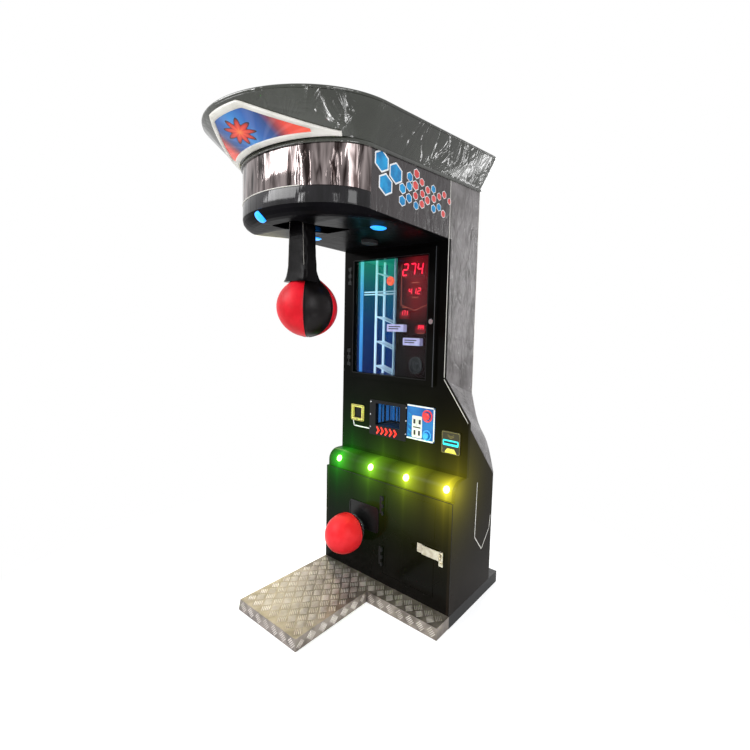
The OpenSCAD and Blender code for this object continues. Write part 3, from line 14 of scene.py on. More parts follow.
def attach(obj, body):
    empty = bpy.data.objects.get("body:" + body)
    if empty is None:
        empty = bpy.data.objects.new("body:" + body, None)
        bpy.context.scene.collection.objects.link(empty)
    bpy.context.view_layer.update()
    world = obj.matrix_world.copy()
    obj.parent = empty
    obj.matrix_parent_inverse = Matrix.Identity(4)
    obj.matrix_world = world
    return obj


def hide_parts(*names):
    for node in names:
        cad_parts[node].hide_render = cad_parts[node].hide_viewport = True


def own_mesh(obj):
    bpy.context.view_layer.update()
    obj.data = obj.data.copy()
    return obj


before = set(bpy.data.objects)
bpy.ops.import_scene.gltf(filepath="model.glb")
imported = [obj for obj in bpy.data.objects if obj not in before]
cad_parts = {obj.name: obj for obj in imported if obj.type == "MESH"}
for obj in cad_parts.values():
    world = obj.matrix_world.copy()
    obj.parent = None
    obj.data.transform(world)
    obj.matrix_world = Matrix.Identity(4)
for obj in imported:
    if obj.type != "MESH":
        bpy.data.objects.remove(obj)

LOG = logging.getLogger("boxing_machine")
MM = 0.001
Array = np.ndarray
Tree = bpy.types.NodeTree
Socket = bpy.types.NodeSocket
Item = bpy.types.Object
Point = tuple[float, float, float]
Stops = list[tuple[float, str]]
# The nosing lamps' row in mm: the first one's X, their pitch, and their Y and Z
LAMP_ROW = (-297.0, 233.0, 163.3, 618.8)
# The window's case in metres: its walls in X, its floor and top in Z, and its back's inner face in Y
CASE_X, CASE_Z, CASE_BACK = (-0.296, 0.212), (1.076, 1.679), 0.4375
# The seam in the right side's film, as a Y in metres
SEAM = 0.2515


# Colours, patterns and finishes


def linear(code: str) -> tuple[float, float, float, float]:
    """Turn an sRGB hex colour into linear light.

    Args:
        code: six hex digits, with or without a leading #.

    Returns:
        Linear red, green, blue and an alpha of 1.
    """
    code = code.lstrip("#")
    srgb = np.array([int(code[i : i + 2], 16) for i in (0, 2, 4)]) / 255.0
    rgb = np.where(srgb <= 0.04045, srgb / 12.92, ((srgb + 0.055) / 1.055) ** 2.4)
    return (float(rgb[0]), float(rgb[1]), float(rgb[2]), 1.0)


class Grain(Enum):
    """The pattern that a finish carries."""

    SMOOTH = "smooth"
    FILM = "film"
    LEATHER = "leather"
    BRUSHED = "brushed"
    PEEL = "peel"
    STREAK = "streak"


@dataclass(frozen=True)
class Finish:
    """One real surface, from its base colour to its texture.

    Colours are sRGB hex. grain_mm is the pattern's real size, depth_mm its relief.
    """

    name: str
    base: str
    second: str = ""
    rough: float = 0.4
    rough_span: float = 0.06
    metal: float = 0.0
    specular: float = 0.5
    coat: float = 0.0
    grain: Grain = Grain.PEEL
    grain_mm: float = 3.0
    depth_mm: float = 0.05
    patch_mm: float = 120.0
    glow: str = ""
    power: float = 0.0
    clear: float = 0.0
    edge_mm: float = 0.0
    # Strength of the painted lamp glow: emission that stands in for the nosing lamps' light
    painted_lamp_glow: float = 0.0
    ior: float = 1.5


def add(
    tree: Tree, kind: str, settings: dict | None = None, **links: Socket | bpy.types.Node
) -> bpy.types.Node:
    """Add a shader node with its settings and incoming links.

    Args:
        tree: the node tree.
        kind: the node's type name, without the ShaderNode prefix.
        settings: attribute or socket values by name; a socket's number is also allowed.
        **links: socket name, with _ for a space, or inN for socket number N, to an output, or to
            a node for its first output.

    Returns:
        The new node.
    """
    item = tree.nodes.new("ShaderNode" + kind)
    for key, value in (settings or {}).items():
        if isinstance(key, int) or key in item.inputs:
            item.inputs[key].default_value = value
        else:
            setattr(item, key, value)
    for key, out in links.items():
        numbered = key[:2] == "in" and key[2:].isdigit()
        socket = item.inputs[int(key[2:]) if numbered else key.replace("_", " ")]
        tree.links.new(out.outputs[0] if isinstance(out, bpy.types.Node) else out, socket)
    return item


def blank(name: str) -> bpy.types.Material:
    """A new material whose node tree is empty."""
    item = bpy.data.materials.new(name)
    item.use_nodes = True
    item.node_tree.nodes.clear()
    return item


def linked(name: str, data: bpy.types.ID) -> Item:
    """A new object of the data, in the scene's collection."""
    item = bpy.data.objects.new(name, data)
    bpy.context.scene.collection.objects.link(item)
    return item


def ramp(tree: Tree, fac: Socket, stops: Stops) -> Socket:
    """Map a value through a colour ramp.

    Args:
        tree: the node tree.
        fac: the value.
        stops: positions with their hex colours, in rising order.

    Returns:
        The ramp's colour output.
    """
    item = add(tree, "ValToRGB", Fac=fac)
    marks = item.color_ramp.elements
    while len(marks) < len(stops):
        marks.new(0.5)
    for mark, (place, code) in zip(marks, stops):
        mark.position = place
        mark.color = linear(code)
    return item.outputs["Color"]


def relief(tree: Tree, finish: Finish, place: Socket) -> Socket:
    """The height pattern of a finish, from 0 to 1.

    Args:
        tree: the node tree.
        finish: the finish.
        place: object coordinates in metres.

    Returns:
        The height's output.
    """
    scale = 1.0 / (finish.grain_mm * MM)
    if finish.grain is Grain.LEATHER:
        cells = add(
            tree, "TexVoronoi", {"feature": "SMOOTH_F1", "Scale": scale, "Smoothness": 0.6}, Vector=place
        )
        folds = add(tree, "TexNoise", {"Scale": scale / 9, "Detail": 4.0}, Vector=place)
        both = add(
            tree, "Math", {"operation": "MULTIPLY_ADD", 1: 2.2}, in0=folds.outputs["Fac"],
            in2=cells.outputs["Distance"]
        )
        return both.outputs[0]
    if finish.grain is Grain.BRUSHED:
        long = add(tree, "Mapping", {"Scale": (0.03, 1.0, 1.0)}, Vector=place)
        return add(tree, "TexNoise", {"Scale": scale, "Detail": 5.0}, Vector=long).outputs["Fac"]
    if finish.grain is Grain.STREAK:
        tall = add(tree, "Mapping", {"Scale": (1.0, 1.0, 0.16)}, Vector=place)
        return add(
            tree, "TexNoise", {"Scale": scale, "Detail": 2.5, "Distortion": 0.4}, Vector=tall
        ).outputs["Fac"]
    if finish.grain is Grain.FILM:
        tall = add(tree, "Mapping", {"Scale": (1.0, 1.0, 0.4)}, Vector=place)
        wave = add(tree, "TexNoise", {"Scale": scale, "Detail": 3.0, "Distortion": 1.2}, Vector=tall)
        crease = add(tree, "TexVoronoi", {"feature": "DISTANCE_TO_EDGE", "Scale": scale * 0.8}, Vector=tall)
        low = add(tree, "Math", {"operation": "MINIMUM", 1: 0.06}, in0=crease.outputs["Distance"])
        return add(
            tree, "Math", {"operation": "MULTIPLY_ADD", 1: 2.0}, in0=low, in2=wave.outputs["Fac"]
        ).outputs[0]
    return add(tree, "TexNoise", {"Scale": scale, "Detail": 2.0}, Vector=place).outputs["Fac"]


def painted_lamp_glow(tree: Tree, place: Socket, strength: float) -> tuple[Socket, Socket]:
    """Painted light: emission colour and strength that stand in for the light the nosing's lamps throw on
    what stands near them.

    X is wrapped at the lamps' pitch, so d is the distance to the nearest lamp. The light falls
    as e to the power of -d over 26 mm, with a wider part over 92 mm and an upright streak, and
    a face that looks backwards, such as the back of a board, gets none.

    Args:
        tree: the node tree.
        place: object coordinates in metres.
        strength: the whole light's factor.

    Returns:
        The outputs of its colour and of its strength.
    """

    def fall(value: Socket, reach: float, factor: float) -> Socket:
        """The factor times e to the power of minus the value over the reach in mm."""
        scaled = add(tree, "Math", {"operation": "MULTIPLY", 1: -1.0 / (reach * MM)}, in0=value)
        power = add(tree, "Math", {"operation": "EXPONENT"}, in0=scaled)
        return add(tree, "Math", {"operation": "MULTIPLY", 1: factor}, in0=power).outputs[0]

    split = add(tree, "SeparateXYZ", Vector=place)
    first, pitch, depth, height = (v * MM for v in LAMP_ROW)
    off = [
        add(tree, "Math", {"operation": "SUBTRACT", 1: v}, in0=split.outputs[k]).outputs[0] for k,
        v in enumerate((first, depth, height))
    ]
    wrapped = add(tree, "Math", {"operation": "WRAP", 1: pitch / 2, 2: -pitch / 2}, in0=off[0]).outputs[0]
    joined = add(tree, "CombineXYZ", in0=wrapped, in1=off[1], in2=off[2])
    d = add(tree, "VectorMath", {"operation": "LENGTH"}, in0=joined).outputs["Value"]
    beside = add(tree, "Math", {"operation": "ABSOLUTE"}, in0=wrapped).outputs[0]
    streak = add(
        tree, "Math", {"operation": "MULTIPLY"}, in0=fall(beside, 13, 1.0), in1=fall(d, 58, 0.3 * strength)
    )
    sums = add(
        tree, "Math", {"operation": "ADD"}, in0=fall(d, 26, 0.9 * strength), in1=fall(d, 92, 0.27 * strength)
    )
    total = add(tree, "Math", {"operation": "ADD"}, in0=sums, in1=streak)
    facing = add(tree, "SeparateXYZ", Vector=add(tree, "TexCoord").outputs["Normal"])
    ahead = add(tree, "MapRange", {"From Min": 0.6, "From Max": 0.2}, Value=facing.outputs["Y"])
    total = add(tree, "Math", {"operation": "MULTIPLY"}, in0=total, in1=ahead)
    share = add(tree, "MapRange", {"From Min": first, "From Max": first + 3 * pitch}, Value=split.outputs[0])
    return ramp(
        tree, share.outputs[0], [(0.0, "#2ea41e"), (0.45, "#7cb41c"), (1.0, "#c9c02a")]
    ), total.outputs[0]


def shader(tree: Tree, finish: Finish) -> bpy.types.Node:
    """Build a finish's surface shader and join it to the output.

    Args:
        tree: an empty material tree.
        finish: the finish.

    Returns:
        The Principled node, for a caller that adds a print to it.
    """
    place = add(tree, "TexCoord").outputs["Object"]
    flat = {
        "Metallic": finish.metal,
        "Specular IOR Level": finish.specular,
        "Coat Weight": finish.coat,
        "Coat Roughness": 0.06,
        "Transmission Weight": finish.clear,
        "IOR": finish.ior,
        "Emission Strength": finish.power,
    }
    if finish.glow:
        flat["Emission Color"] = linear(finish.glow)
    bsdf = add(tree, "BsdfPrincipled", flat)
    # Painted light: the nosing lamps' glow is painted on as emission
    if finish.painted_lamp_glow:
        for socket, out in zip(("Emission Color", "Emission Strength"), painted_lamp_glow(tree, place, finish.painted_lamp_glow)):
            tree.links.new(out, bsdf.inputs[socket])
    patch = add(tree, "TexNoise", {"Scale": 1.0 / (finish.patch_mm * MM), "Detail": 3.0}, Vector=place)
    # For a streak finish the colour follows the upright streaks, which on the mirror band are painted
    # reflection streaks; other finishes vary in random patches
    tone_and_painted_streaks = relief(tree, finish, place) if finish.grain is Grain.STREAK else patch.outputs["Fac"]
    tint = ramp(tree, tone_and_painted_streaks, [(0.36, finish.base), (0.64, finish.second or finish.base)])
    tree.links.new(tint, bsdf.inputs["Base Color"])
    span = {"To Min": max(0.02, finish.rough - finish.rough_span), "To Max": finish.rough + finish.rough_span}
    rough = add(tree, "MapRange", span, Value=patch.outputs["Fac"])
    tree.links.new(rough.outputs[0], bsdf.inputs["Roughness"])
    if finish.grain is not Grain.SMOOTH:
        bump = add(
            tree, "Bump", {"Strength": 1.0, "Distance": finish.depth_mm * MM},
            Height=relief(tree, finish, place)
        )
        if finish.edge_mm:
            edge = add(tree, "Bevel", {"samples": 4, "Radius": finish.edge_mm * MM})
            tree.links.new(edge.outputs[0], bump.inputs["Normal"])
        tree.links.new(bump.outputs[0], bsdf.inputs["Normal"])
    out = add(tree, "OutputMaterial")
    tree.links.new(bsdf.outputs[0], out.inputs["Surface"])
    return bsdf


MADE: dict[str, bpy.types.Material] = {}


def finished(name: str, finish: Finish) -> tuple[bpy.types.Material, bpy.types.Node]:
    """A new material with a finish's shader, and its Principled node."""
    item = blank(name)
    return item, shader(item.node_tree, finish)


def material(finish: Finish) -> bpy.types.Material:
    """The material of a finish, made once."""
    if finish.name not in MADE:
        MADE[finish.name] = finished(finish.name, finish)[0]
    return MADE[finish.name]


# Black gloss laminate on board: deep, nearly a mirror, with faint waves from pressing, and the nosing lamps'
# light painted on near them as emission
BLACK_LAMINATE = Finish(
    "black_gloss_laminate", "#060505", "#0c0b0a", rough=0.15, specular=0.1, grain_mm=70, depth_mm=0.35,
    patch_mm=260, edge_mm=1.5, painted_lamp_glow=1.5, ior=1.28
)
# Black moulded sheet of the nose's lower wall, near a mirror
BLACK_GLOSS = Finish(
    "black_gloss_abs", "#0a090b", "#1b191d", rough=0.1, specular=0.3, grain=Grain.STREAK, grain_mm=30,
    depth_mm=1.6, patch_mm=120, edge_mm=8
)
# The pan under the head: the same sheet, scuffed and darker
PAN_ABS = Finish(
    "scuffed_black_abs", "#060607", "#0e0d10", rough=0.3, specular=0.2, grain=Grain.FILM, grain_mm=90,
    depth_mm=1.6, patch_mm=120, ior=1.12
)
# Printed vinyl film on board, nearly black and warm: soft gloss, pulled slightly uneven, and the nosing
# lamps' light painted on near them as emission
DARK_FILM = Finish(
    "dark_vinyl_film", "#16110e", "#221b16", rough=0.26, specular=0.12, grain=Grain.FILM, grain_mm=160,
    depth_mm=0.5, patch_mm=300, edge_mm=1.5, painted_lamp_glow=1.8, ior=1.25
)
# Grey vinyl film that wrinkles and catches pale light along its creases
GREY_FILM = Finish(
    "grey_vinyl_film", "#514c4b", "#7b7676", rough=0.24, rough_span=0.1, specular=0.6, grain=Grain.FILM,
    grain_mm=58, depth_mm=5.0, patch_mm=110, edge_mm=1.5
)
# Vacuum-formed ABS, black, with an olive reflection of the room painted into its base colour all over
HOOD_ABS = Finish(
    "hood_black_abs", "#1c1f16", "#2e3228", rough=0.09, rough_span=0.04, specular=0.6, coat=0.32,
    grain=Grain.FILM, grain_mm=95, depth_mm=5.0, patch_mm=230
)
# Dark mirror acrylic, slightly wavy, so that lamps stretch into upright streaks; its colour also carries pale
# upright streaks, which are painted reflections
MIRROR_WITH_PAINTED_STREAKS = Finish(
    "dark_mirror_acrylic_painted_streaks", "#2a2322", "#978c8b", rough=0.08, rough_span=0.04, metal=1.0, grain=Grain.STREAK,
    grain_mm=24, depth_mm=2.6, patch_mm=70
)
# Moulded black ABS trim, satin
BLACK_ABS = Finish(
    "black_moulded_abs", "#0a0a0b", "#111112", rough=0.35, specular=0.22, grain_mm=1.2, depth_mm=0.03,
    edge_mm=0.8
)
# Nosing of gloss ABS, with the green light of its lamps painted on as emission
NOSING_ABS = Finish(
    "nosing_gloss_abs", "#080b07", "#0d120b", rough=0.28, specular=0.12, grain_mm=60, depth_mm=0.3, painted_lamp_glow=2.6,
    ior=1.3
)
# Bright five-bar plate, mill-finished and scuffed, a darker tone than its bars' tops
TREAD_ALU = Finish(
    "mill_aluminium_plate", "#675e58", "#938982", rough=0.36, rough_span=0.12, metal=0.62,
    grain=Grain.BRUSHED, grain_mm=1.5, depth_mm=0.05, patch_mm=60
)
# Tops of the plate's bars, paler than the plate between them
TREAD_BAR = Finish(
    "pale_aluminium_bar", "#b0a69f", "#d8d0ca", rough=0.32, rough_span=0.1, metal=0.62, grain=Grain.BRUSHED,
    grain_mm=1.2, depth_mm=0.03, patch_mm=50
)
# Zinc-plated steel, slightly yellow
ZINC = Finish(
    "zinc_plated_steel", "#c9c2ad", "#ded9c9", rough=0.3, metal=1.0, grain=Grain.BRUSHED, grain_mm=0.8,
    depth_mm=0.03, patch_mm=20, edge_mm=0.5
)
# Turned and ground steel: tight, bright highlights
STEEL = Finish(
    "ground_steel", "#a9abad", "#c2c4c6", rough=0.24, metal=1.0, grain=Grain.BRUSHED, grain_mm=0.7,
    depth_mm=0.02, patch_mm=30, edge_mm=0.5
)
# Powder-coated black steel, dull with fine orange peel
BLACK_COAT = Finish(
    "black_powder_coat", "#0e0f10", "#161718", rough=0.45, specular=0.2, grain_mm=1.4, depth_mm=0.06,
    edge_mm=1.0
)
# Dark grey enamelled steel, half dull and even
GREY_ENAMEL = Finish(
    "dark_grey_enamel", "#34373b", "#404348", rough=0.38, grain_mm=1.6, depth_mm=0.05, edge_mm=0.8
)
# PVC-coated cloth of the ball, crimson and pebbled, with broad dull highlights
RED_VINYL = Finish(
    "crimson_pvc_leather", "#c80f1e", "#e01a2a", rough=0.4, rough_span=0.1, specular=0.16,
    grain=Grain.LEATHER, grain_mm=2.6, depth_mm=0.22, patch_mm=60
)
# The black gores' cloth: the same grain, with less light from its surface
BLACK_VINYL = Finish(
    "black_pvc_leather", "#0d0b0b", "#171314", rough=0.32, rough_span=0.1, specular=0.2, grain=Grain.LEATHER,
    grain_mm=2.6, depth_mm=0.22, patch_mm=60, ior=1.38
)
# Glossier black cloth of the sleeve
SLEEVE_VINYL = Finish(
    "gloss_black_pvc_leather", "#070506", "#0c0a0b", rough=0.24, rough_span=0.08, specular=0.12,
    grain=Grain.LEATHER, grain_mm=3.4, depth_mm=0.3, patch_mm=70, ior=1.3
)
# Bright signal-red vinyl of the kick pad
PAD_VINYL = Finish(
    "signal_red_vinyl", "#e21f26", "#f0323a", rough=0.38, specular=0.12, grain=Grain.LEATHER, grain_mm=2.2,
    depth_mm=0.15, patch_mm=90
)
# Waxed sewing thread, dull and greyed by hands
THREAD = Finish("waxed_thread", "#8e8a84", "#b5b1aa", rough=0.6, grain_mm=0.6, depth_mm=0.05)
# Moulded rubber, dull and dusty
RUBBER = Finish("black_rubber", "#151517", "#1d1d20", rough=0.7, grain_mm=1.0, depth_mm=0.06)
# Gloss white trim, slightly yellowed
PALE_TRIM = Finish(
    "pale_gloss_trim", "#d9d6cd", "#ebe8e1", rough=0.28, specular=0.5, grain_mm=25, depth_mm=0.1, patch_mm=80
)
# Moulded white ABS, satin
WHITE_ABS = Finish(
    "white_moulded_abs", "#e4e3df", "#f0efec", rough=0.32, grain_mm=1.2, depth_mm=0.02, edge_mm=0.6
)
# Back-printed acrylic sheet: the blue lies under gloss
PLATE_BLUE = Finish(
    "blue_printed_sheet", "#1d5ba8", "#2b78c4", rough=0.22, specular=0.3, grain_mm=30, depth_mm=0.08,
    patch_mm=90
)


def ink(name: str, base: str, second: str, rough: float = 0.25, specular: float = 0.5) -> Finish:
    """A screen ink: flat, even and half glossy, with hardly any relief."""
    return Finish(
        name + "_screen_ink", base, second, rough=rough, specular=specular, grain_mm=20, depth_mm=0.05,
        patch_mm=30
    )


def glowing(name: str, base: str, second: str, glow: str, power: float, rough: float = 0.4) -> Finish:
    """A smooth lens or strip with a lamp behind it: one colour all over that gives light."""
    return Finish("lit_" + name, base, second, rough=rough, grain=Grain.SMOOTH, glow=glow, power=power)


# The prints' inks: hexagons, borders, marks and lines
PRINT_BLUE = ink("blue", "#1279b4", "#22a0da", 0.22, 0.35)
PRINT_RED = ink("red", "#cf3a3a", "#e05550", 0.22)
PRINT_WHITE = ink("white", "#e9ecee", "#f5f7f8")
PRINT_YELLOW = ink("yellow", "#d8c84a", "#e6da6c")
PRINT_BLACK = ink("black", "#0e0e10", "#17171a", 0.3)
PRINT_OLIVE = ink("olive", "#6d6433", "#857a40", 0.3)
# Moulded ABS of the note entry, dark olive and satin
NOTE_OLIVE = Finish(
    "olive_moulded_abs", "#2b2814", "#3a361c", rough=0.3, grain_mm=1.2, depth_mm=0.03, edge_mm=0.6
)
# The same in pale yellow, for the cup
CUP_YELLOW = Finish(
    "yellow_moulded_abs", "#cfc25a", "#e2d87c", rough=0.3, specular=0.3, grain_mm=1.2, depth_mm=0.03,
    edge_mm=0.6
)
# Enamelled case, deep blue and even
CASE_BLUE = Finish(
    "blue_enamelled_case", "#08163a", "#0a1c4a", rough=0.35, specular=0.2, grain_mm=40, depth_mm=0.1,
    patch_mm=200
)
# Matt black sheet round the read-outs
SCREEN_BLACK = Finish(
    "black_display_sheet", "#080607", "#0e080a", rough=0.3, specular=0.06, grain_mm=60, depth_mm=0.08,
    patch_mm=150
)
# Red filter over the digits, with their faint light painted on as a glow
DIGIT_WELL = Finish(
    "dark_red_lens", "#1c0406", "#2a0508", rough=0.25, specular=0.15, grain_mm=30, depth_mm=0.03,
    glow="#7c1c24", power=0.7
)
# Printed card, with a faint painted glow that stands in for the case's light
LAVENDER = Finish(
    "lavender_printed_card", "#a49cc4", "#c1bada", rough=0.5, grain_mm=10, depth_mm=0.05, patch_mm=25,
    glow="#8f86bd", power=0.35
)
# Segments, strips and lenses with lamps behind them: even colour without a highlight's edge
DIGIT_RED = glowing("red_segment", "#ff2038", "#ff3048", "#ff1436", 2.4)
# Red print with a dim painted glow that stands in for the case lamps' light
LINE_RED = Finish(
    "dim_red_print", "#7a2a1c", "#8c3424", rough=0.4, grain=Grain.SMOOTH, glow="#a83a28", power=0.6
)
DISC_ORANGE = glowing("orange_disc", "#e0502c", "#f06038", "#e8482a", 0.8)
# Blue diffuser of the light tubes: dull by itself, its glow is added with the case's painted light
TUBE_BLUE = Finish("lit_blue_diffuser", "#1c6fa8", "#2a86be", rough=0.4, grain=Grain.SMOOTH)
# Clear acrylic whose edges carry the tubes' light, painted on as emission with the case's light
RACK_LIT = Finish(
    "edge_lit_acrylic", "#7f9fb8", "#9dbad0", rough=0.2, specular=0.4, grain_mm=12, depth_mm=0.05
)
CHUTE_BLUE = glowing("chute_strip", "#164f8c", "#1c5fa4", "#1d62a8", 0.6)
LIT_RED = glowing("red_strip", "#e02a20", "#f03a2c", "#e8281c", 1.0)
LIT_CYAN = glowing("cyan_slot", "#25c4cc", "#3cd8de", "#20c8d0", 0.9, 0.35)
SPOT_BLUE = glowing("blue_lens", "#1c90f0", "#38a8ff", "#168af4", 1.6, 0.25)
# Glossy polycarbonate buttons with a weak lamp inside
BUTTON_RED = Finish(
    "red_button_lens", "#d8262a", "#ea3a38", rough=0.18, specular=0.6, coat=0.3, grain_mm=12, depth_mm=0.04,
    glow="#d02020", power=0.35
)
# The blue one of the same moulding
BUTTON_BLUE = Finish(
    "blue_button_lens", "#1a8ad2", "#2ea6ea", rough=0.18, specular=0.6, coat=0.3, grain_mm=12, depth_mm=0.04,
    glow="#1486d0", power=0.3
)
# Pressed paper of the loudspeaker's cone, dull
SPEAKER = Finish("paper_cone", "#121216", "#1c1c21", rough=0.75, grain_mm=1.5, depth_mm=0.12)
# Lacquered brass, warm and satin
BRASS = Finish(
    "lacquered_brass", "#a8843c", "#b8944a", rough=0.3, metal=1.0, grain=Grain.BRUSHED, grain_mm=0.8,
    depth_mm=0.03
)
# Coated glass: the low IOR stands for the coating, which takes most of the reflection away
GLASS = Finish(
    "coated_clear_glass", "#eef6f7", "#f2f8f9", rough=0.015, rough_span=0.005, clear=1.0, grain=Grain.SMOOTH,
    ior=1.13
)


def lamp_finish(share: float) -> Finish:
    """The lit lens of a nosing lamp: green at the left, yellow-green at the right.

    Args:
        share: 0 at the left lamp, 1 at the right one.

    Returns:
        The lens's finish.
    """
    code = "#%02x%02x%02x" % tuple(int(a + (b - a) * share) for a, b in zip((150, 255, 110), (235, 255, 110)))
    return Finish(
        f"lit_lens_{int(share * 100)}", code, code, rough=0.3, grain=Grain.SMOOTH, glow=code, power=7.0
    )


# Meshes from arrays


def turns(n: int) -> Array:
    """The n angles in radians that share out a full turn, from 0."""
    return np.linspace(0, 2 * np.pi, n, endpoint=False)


def unit(v: Array) -> Array:
    """Vectors of length 1 in the same directions."""
    return v / np.linalg.norm(v, axis=-1, keepdims=True)


def quads(rows: int, cols: int, around: bool = False) -> Array:
    """Faces of a grid of rows x cols points, optionally closed along its columns.

    The grid's faces point to rows x cols by the right-hand rule.

    Args:
        rows: points along the first parameter.
        cols: points along the second parameter.
        around: whether the last column joins the first.

    Returns:
        Vertex numbers, four to a face.
    """
    span = cols if around else cols - 1
    i, j = np.meshgrid(np.arange(rows - 1), np.arange(span), indexing="ij")
    k = (j + 1) % cols
    return np.stack([i * cols + j, (i + 1) * cols + j, (i + 1) * cols + k, i * cols + k], -1).reshape(-1, 4)


def piece(
    name: str, points: Array, faces: list, finish: Finish, body: str = "body", sharp: float = 40.0
) -> Item:
    """Make one piece from points in millimetres and let it ride on a body.

    Args:
        name: the piece's name.
        points: (n, 3) places in the machine's frame.
        faces: face arrays or lists of vertex numbers.
        finish: its finish.
        body: the CAD body that it moves with.
        sharp: the angle in degrees over which an edge stays sharp.

    Returns:
        The object, at the origin.
    """
    rows = [tuple(f) for block in faces for f in (block.tolist() if isinstance(block, Array) else [block])]
    mesh = bpy.data.meshes.new(name)
    mesh.from_pydata((points.reshape(-1, 3) * MM).tolist(), [], rows)
    mesh.validate()
    mesh.shade_smooth()
    mesh.set_sharp_from_angle(angle=radians(sharp))
    item = linked(name, mesh)
    mesh.materials.append(material(finish))
    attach(item, body)
    LOG.info("%s: %d faces on %s", name, len(mesh.polygons), body)
    return item


def tube(
    name: str, rings: Array, finish: Finish, body: str = "body", closed: bool = False, flip: bool = False,
    sharp: float = 40.0
) -> Item:
    """A skin through closed rings, capped at both ends unless it runs in a loop.

    Args:
        name: the piece's name.
        rings: (m, n, 3) points, ring after ring.
        finish: its finish.
        body: the CAD body that it moves with.
        closed: whether the last ring joins the first.
        flip: whether the faces are turned round.
        sharp: the angle in degrees over which an edge stays sharp.

    Returns:
        The object.
    """
    m, n = rings.shape[:2]
    ring = np.concatenate([rings, rings[:1]]) if closed else rings
    faces = quads(ring.shape[0], n, True)
    if closed:
        faces = faces % (m * n)
    ends = [] if closed else [np.arange(n)[None, :], (np.arange(n)[::-1] + (m - 1) * n)[None, :]]
    blocks = [faces, *ends]
    if flip:
        blocks = [b[:, ::-1] for b in blocks]
    return piece(name, rings, blocks, finish, body, sharp)


class Plane(Enum):
    """The face that a flat print or plate lies on."""

    FRONT = "front"
    RIGHT = "right"
    TOP = "top"


def on_plane(plane: Plane, u: Array, v: Array, w: Array) -> Array:
    """Places of flat coordinates: u to the right, v up and w out of the face, at w = 0 on the axis.

    Args:
        plane: the face.
        u: right along it (X on the front and top, Y on the right side).
        v: up along it (Z on the front and right side, Y on the top).
        w: the coordinate across it.

    Returns:
        (..., 3) places.
    """
    if plane is Plane.FRONT:
        return np.stack([u, -w, v], -1)
    if plane is Plane.RIGHT:
        return np.stack([w, u, v], -1)
    return np.stack([u, v, w], -1)


def plates(
    name: str, outlines: Array, plane: Plane, low: float, high: float, finish: Finish, body: str = "body"
) -> Item:
    """Flat plates, each an outline carried from one height to another.

    Args:
        name: the piece's name.
        outlines: (m, n, 2) outlines, anticlockwise as seen from outside.
        plane: the face that they lie on.
        low: the hidden side's coordinate across the face (minus Y on the front).
        high: the seen side's coordinate.
        finish: its finish.
        body: the CAD body that it moves with.

    Returns:
        The object.
    """
    outlines = np.asarray(outlines, float)
    m, n = outlines.shape[:2]
    w = np.array([low, high])[None, :, None] * np.ones((m, 1, n))
    u = np.repeat(outlines[:, None, :, 0], 2, 1)
    v = np.repeat(outlines[:, None, :, 1], 2, 1)
    points = on_plane(plane, u, v, w).reshape(-1, 3)
    base = (np.arange(m) * 2 * n)[:, None]
    front = base + n + np.arange(n)[None, :]
    back = base + np.arange(n)[None, ::-1]
    j = np.arange(n)
    side = np.stack([j, (j + 1) % n, (j + 1) % n + n, j + n], -1)[None] + base[:, :, None]
    return piece(name, points, [front, back, side.reshape(-1, 4)], finish, body, 30.0)


def rect(u0: float, u1: float, v0: float, v1: float) -> Array:
    """The outline of an upright rectangle."""
    return np.array([[u0, v0], [u1, v0], [u1, v1], [u0, v1]], float)


def rounded(u0: float, u1: float, v0: float, v1: float, r: float, n: int = 6) -> Array:
    """The outline of a rectangle with corners of radius r, n + 1 points to a corner."""
    a = np.linspace(0, np.pi / 2, n + 1)
    spots = [(u1 - r, v1 - r, 0), (u0 + r, v1 - r, 1), (u0 + r, v0 + r, 2), (u1 - r, v0 + r, 3)]
    return np.concatenate(
        [
            np.stack([x + r * np.cos(a + k * np.pi / 2), y + r * np.sin(a + k * np.pi / 2)], -1) for x, y,
            k in spots
        ]
    )


def disc(u: float, v: float, r: float, n: int = 32) -> Array:
    """A circle's outline of n points."""
    a = turns(n)
    return np.stack([u + r * np.cos(a), v + r * np.sin(a)], -1)


def bars(points: Array, width: float) -> Array:
    """Outlines of straight strips along the legs of an open line.

    Each leg gives a rectangle of the width, with its corners to the left and right of the leg,
    lengthened by half the width at both ends so that the corners fill.

    Args:
        points: (n, 2) corners.
        width: the strips' width.

    Returns:
        (n - 1, 4, 2) outlines.
    """
    points = np.asarray(points, float)
    leg = points[1:] - points[:-1]
    leg = unit(leg)
    side = np.stack([leg[:, 1], -leg[:, 0]], -1) * width / 2
    a, b = points[:-1] - leg * width / 2, points[1:] + leg * width / 2
    return np.stack([a + side, b + side, b - side, a - side], 1)


def outline_bars(u0: float, u1: float, v0: float, v1: float, width: float) -> Array:
    """Outlines of the four strips round an upright rectangle."""
    corners = rect(u0, u1, v0, v1)
    return bars(np.concatenate([corners, corners[:1]]), width)


def turned(profile: Array, centre: Point, axis: str, n: int = 72) -> Array:
    """Rings of a solid of revolution.

    A profile point (r, h) goes to radius r at height h along the axis, round n steps.

    Args:
        profile: (m, 2) radii and heights.
        centre: the axis's foot.
        axis: "z" for upwards or "-y" for out of the front.
        n: steps round.

    Returns:
        (m, n, 3) places, ring after ring.
    """
    a = turns(n)
    r, h = profile[:, :1], profile[:, 1:]
    flat = np.stack([r * np.cos(a), r * np.sin(a), h + 0 * a], -1)
    if axis == "-y":
        flat = np.stack([flat[..., 0], -flat[..., 2], flat[..., 1]], -1)
    return flat + np.array(centre)


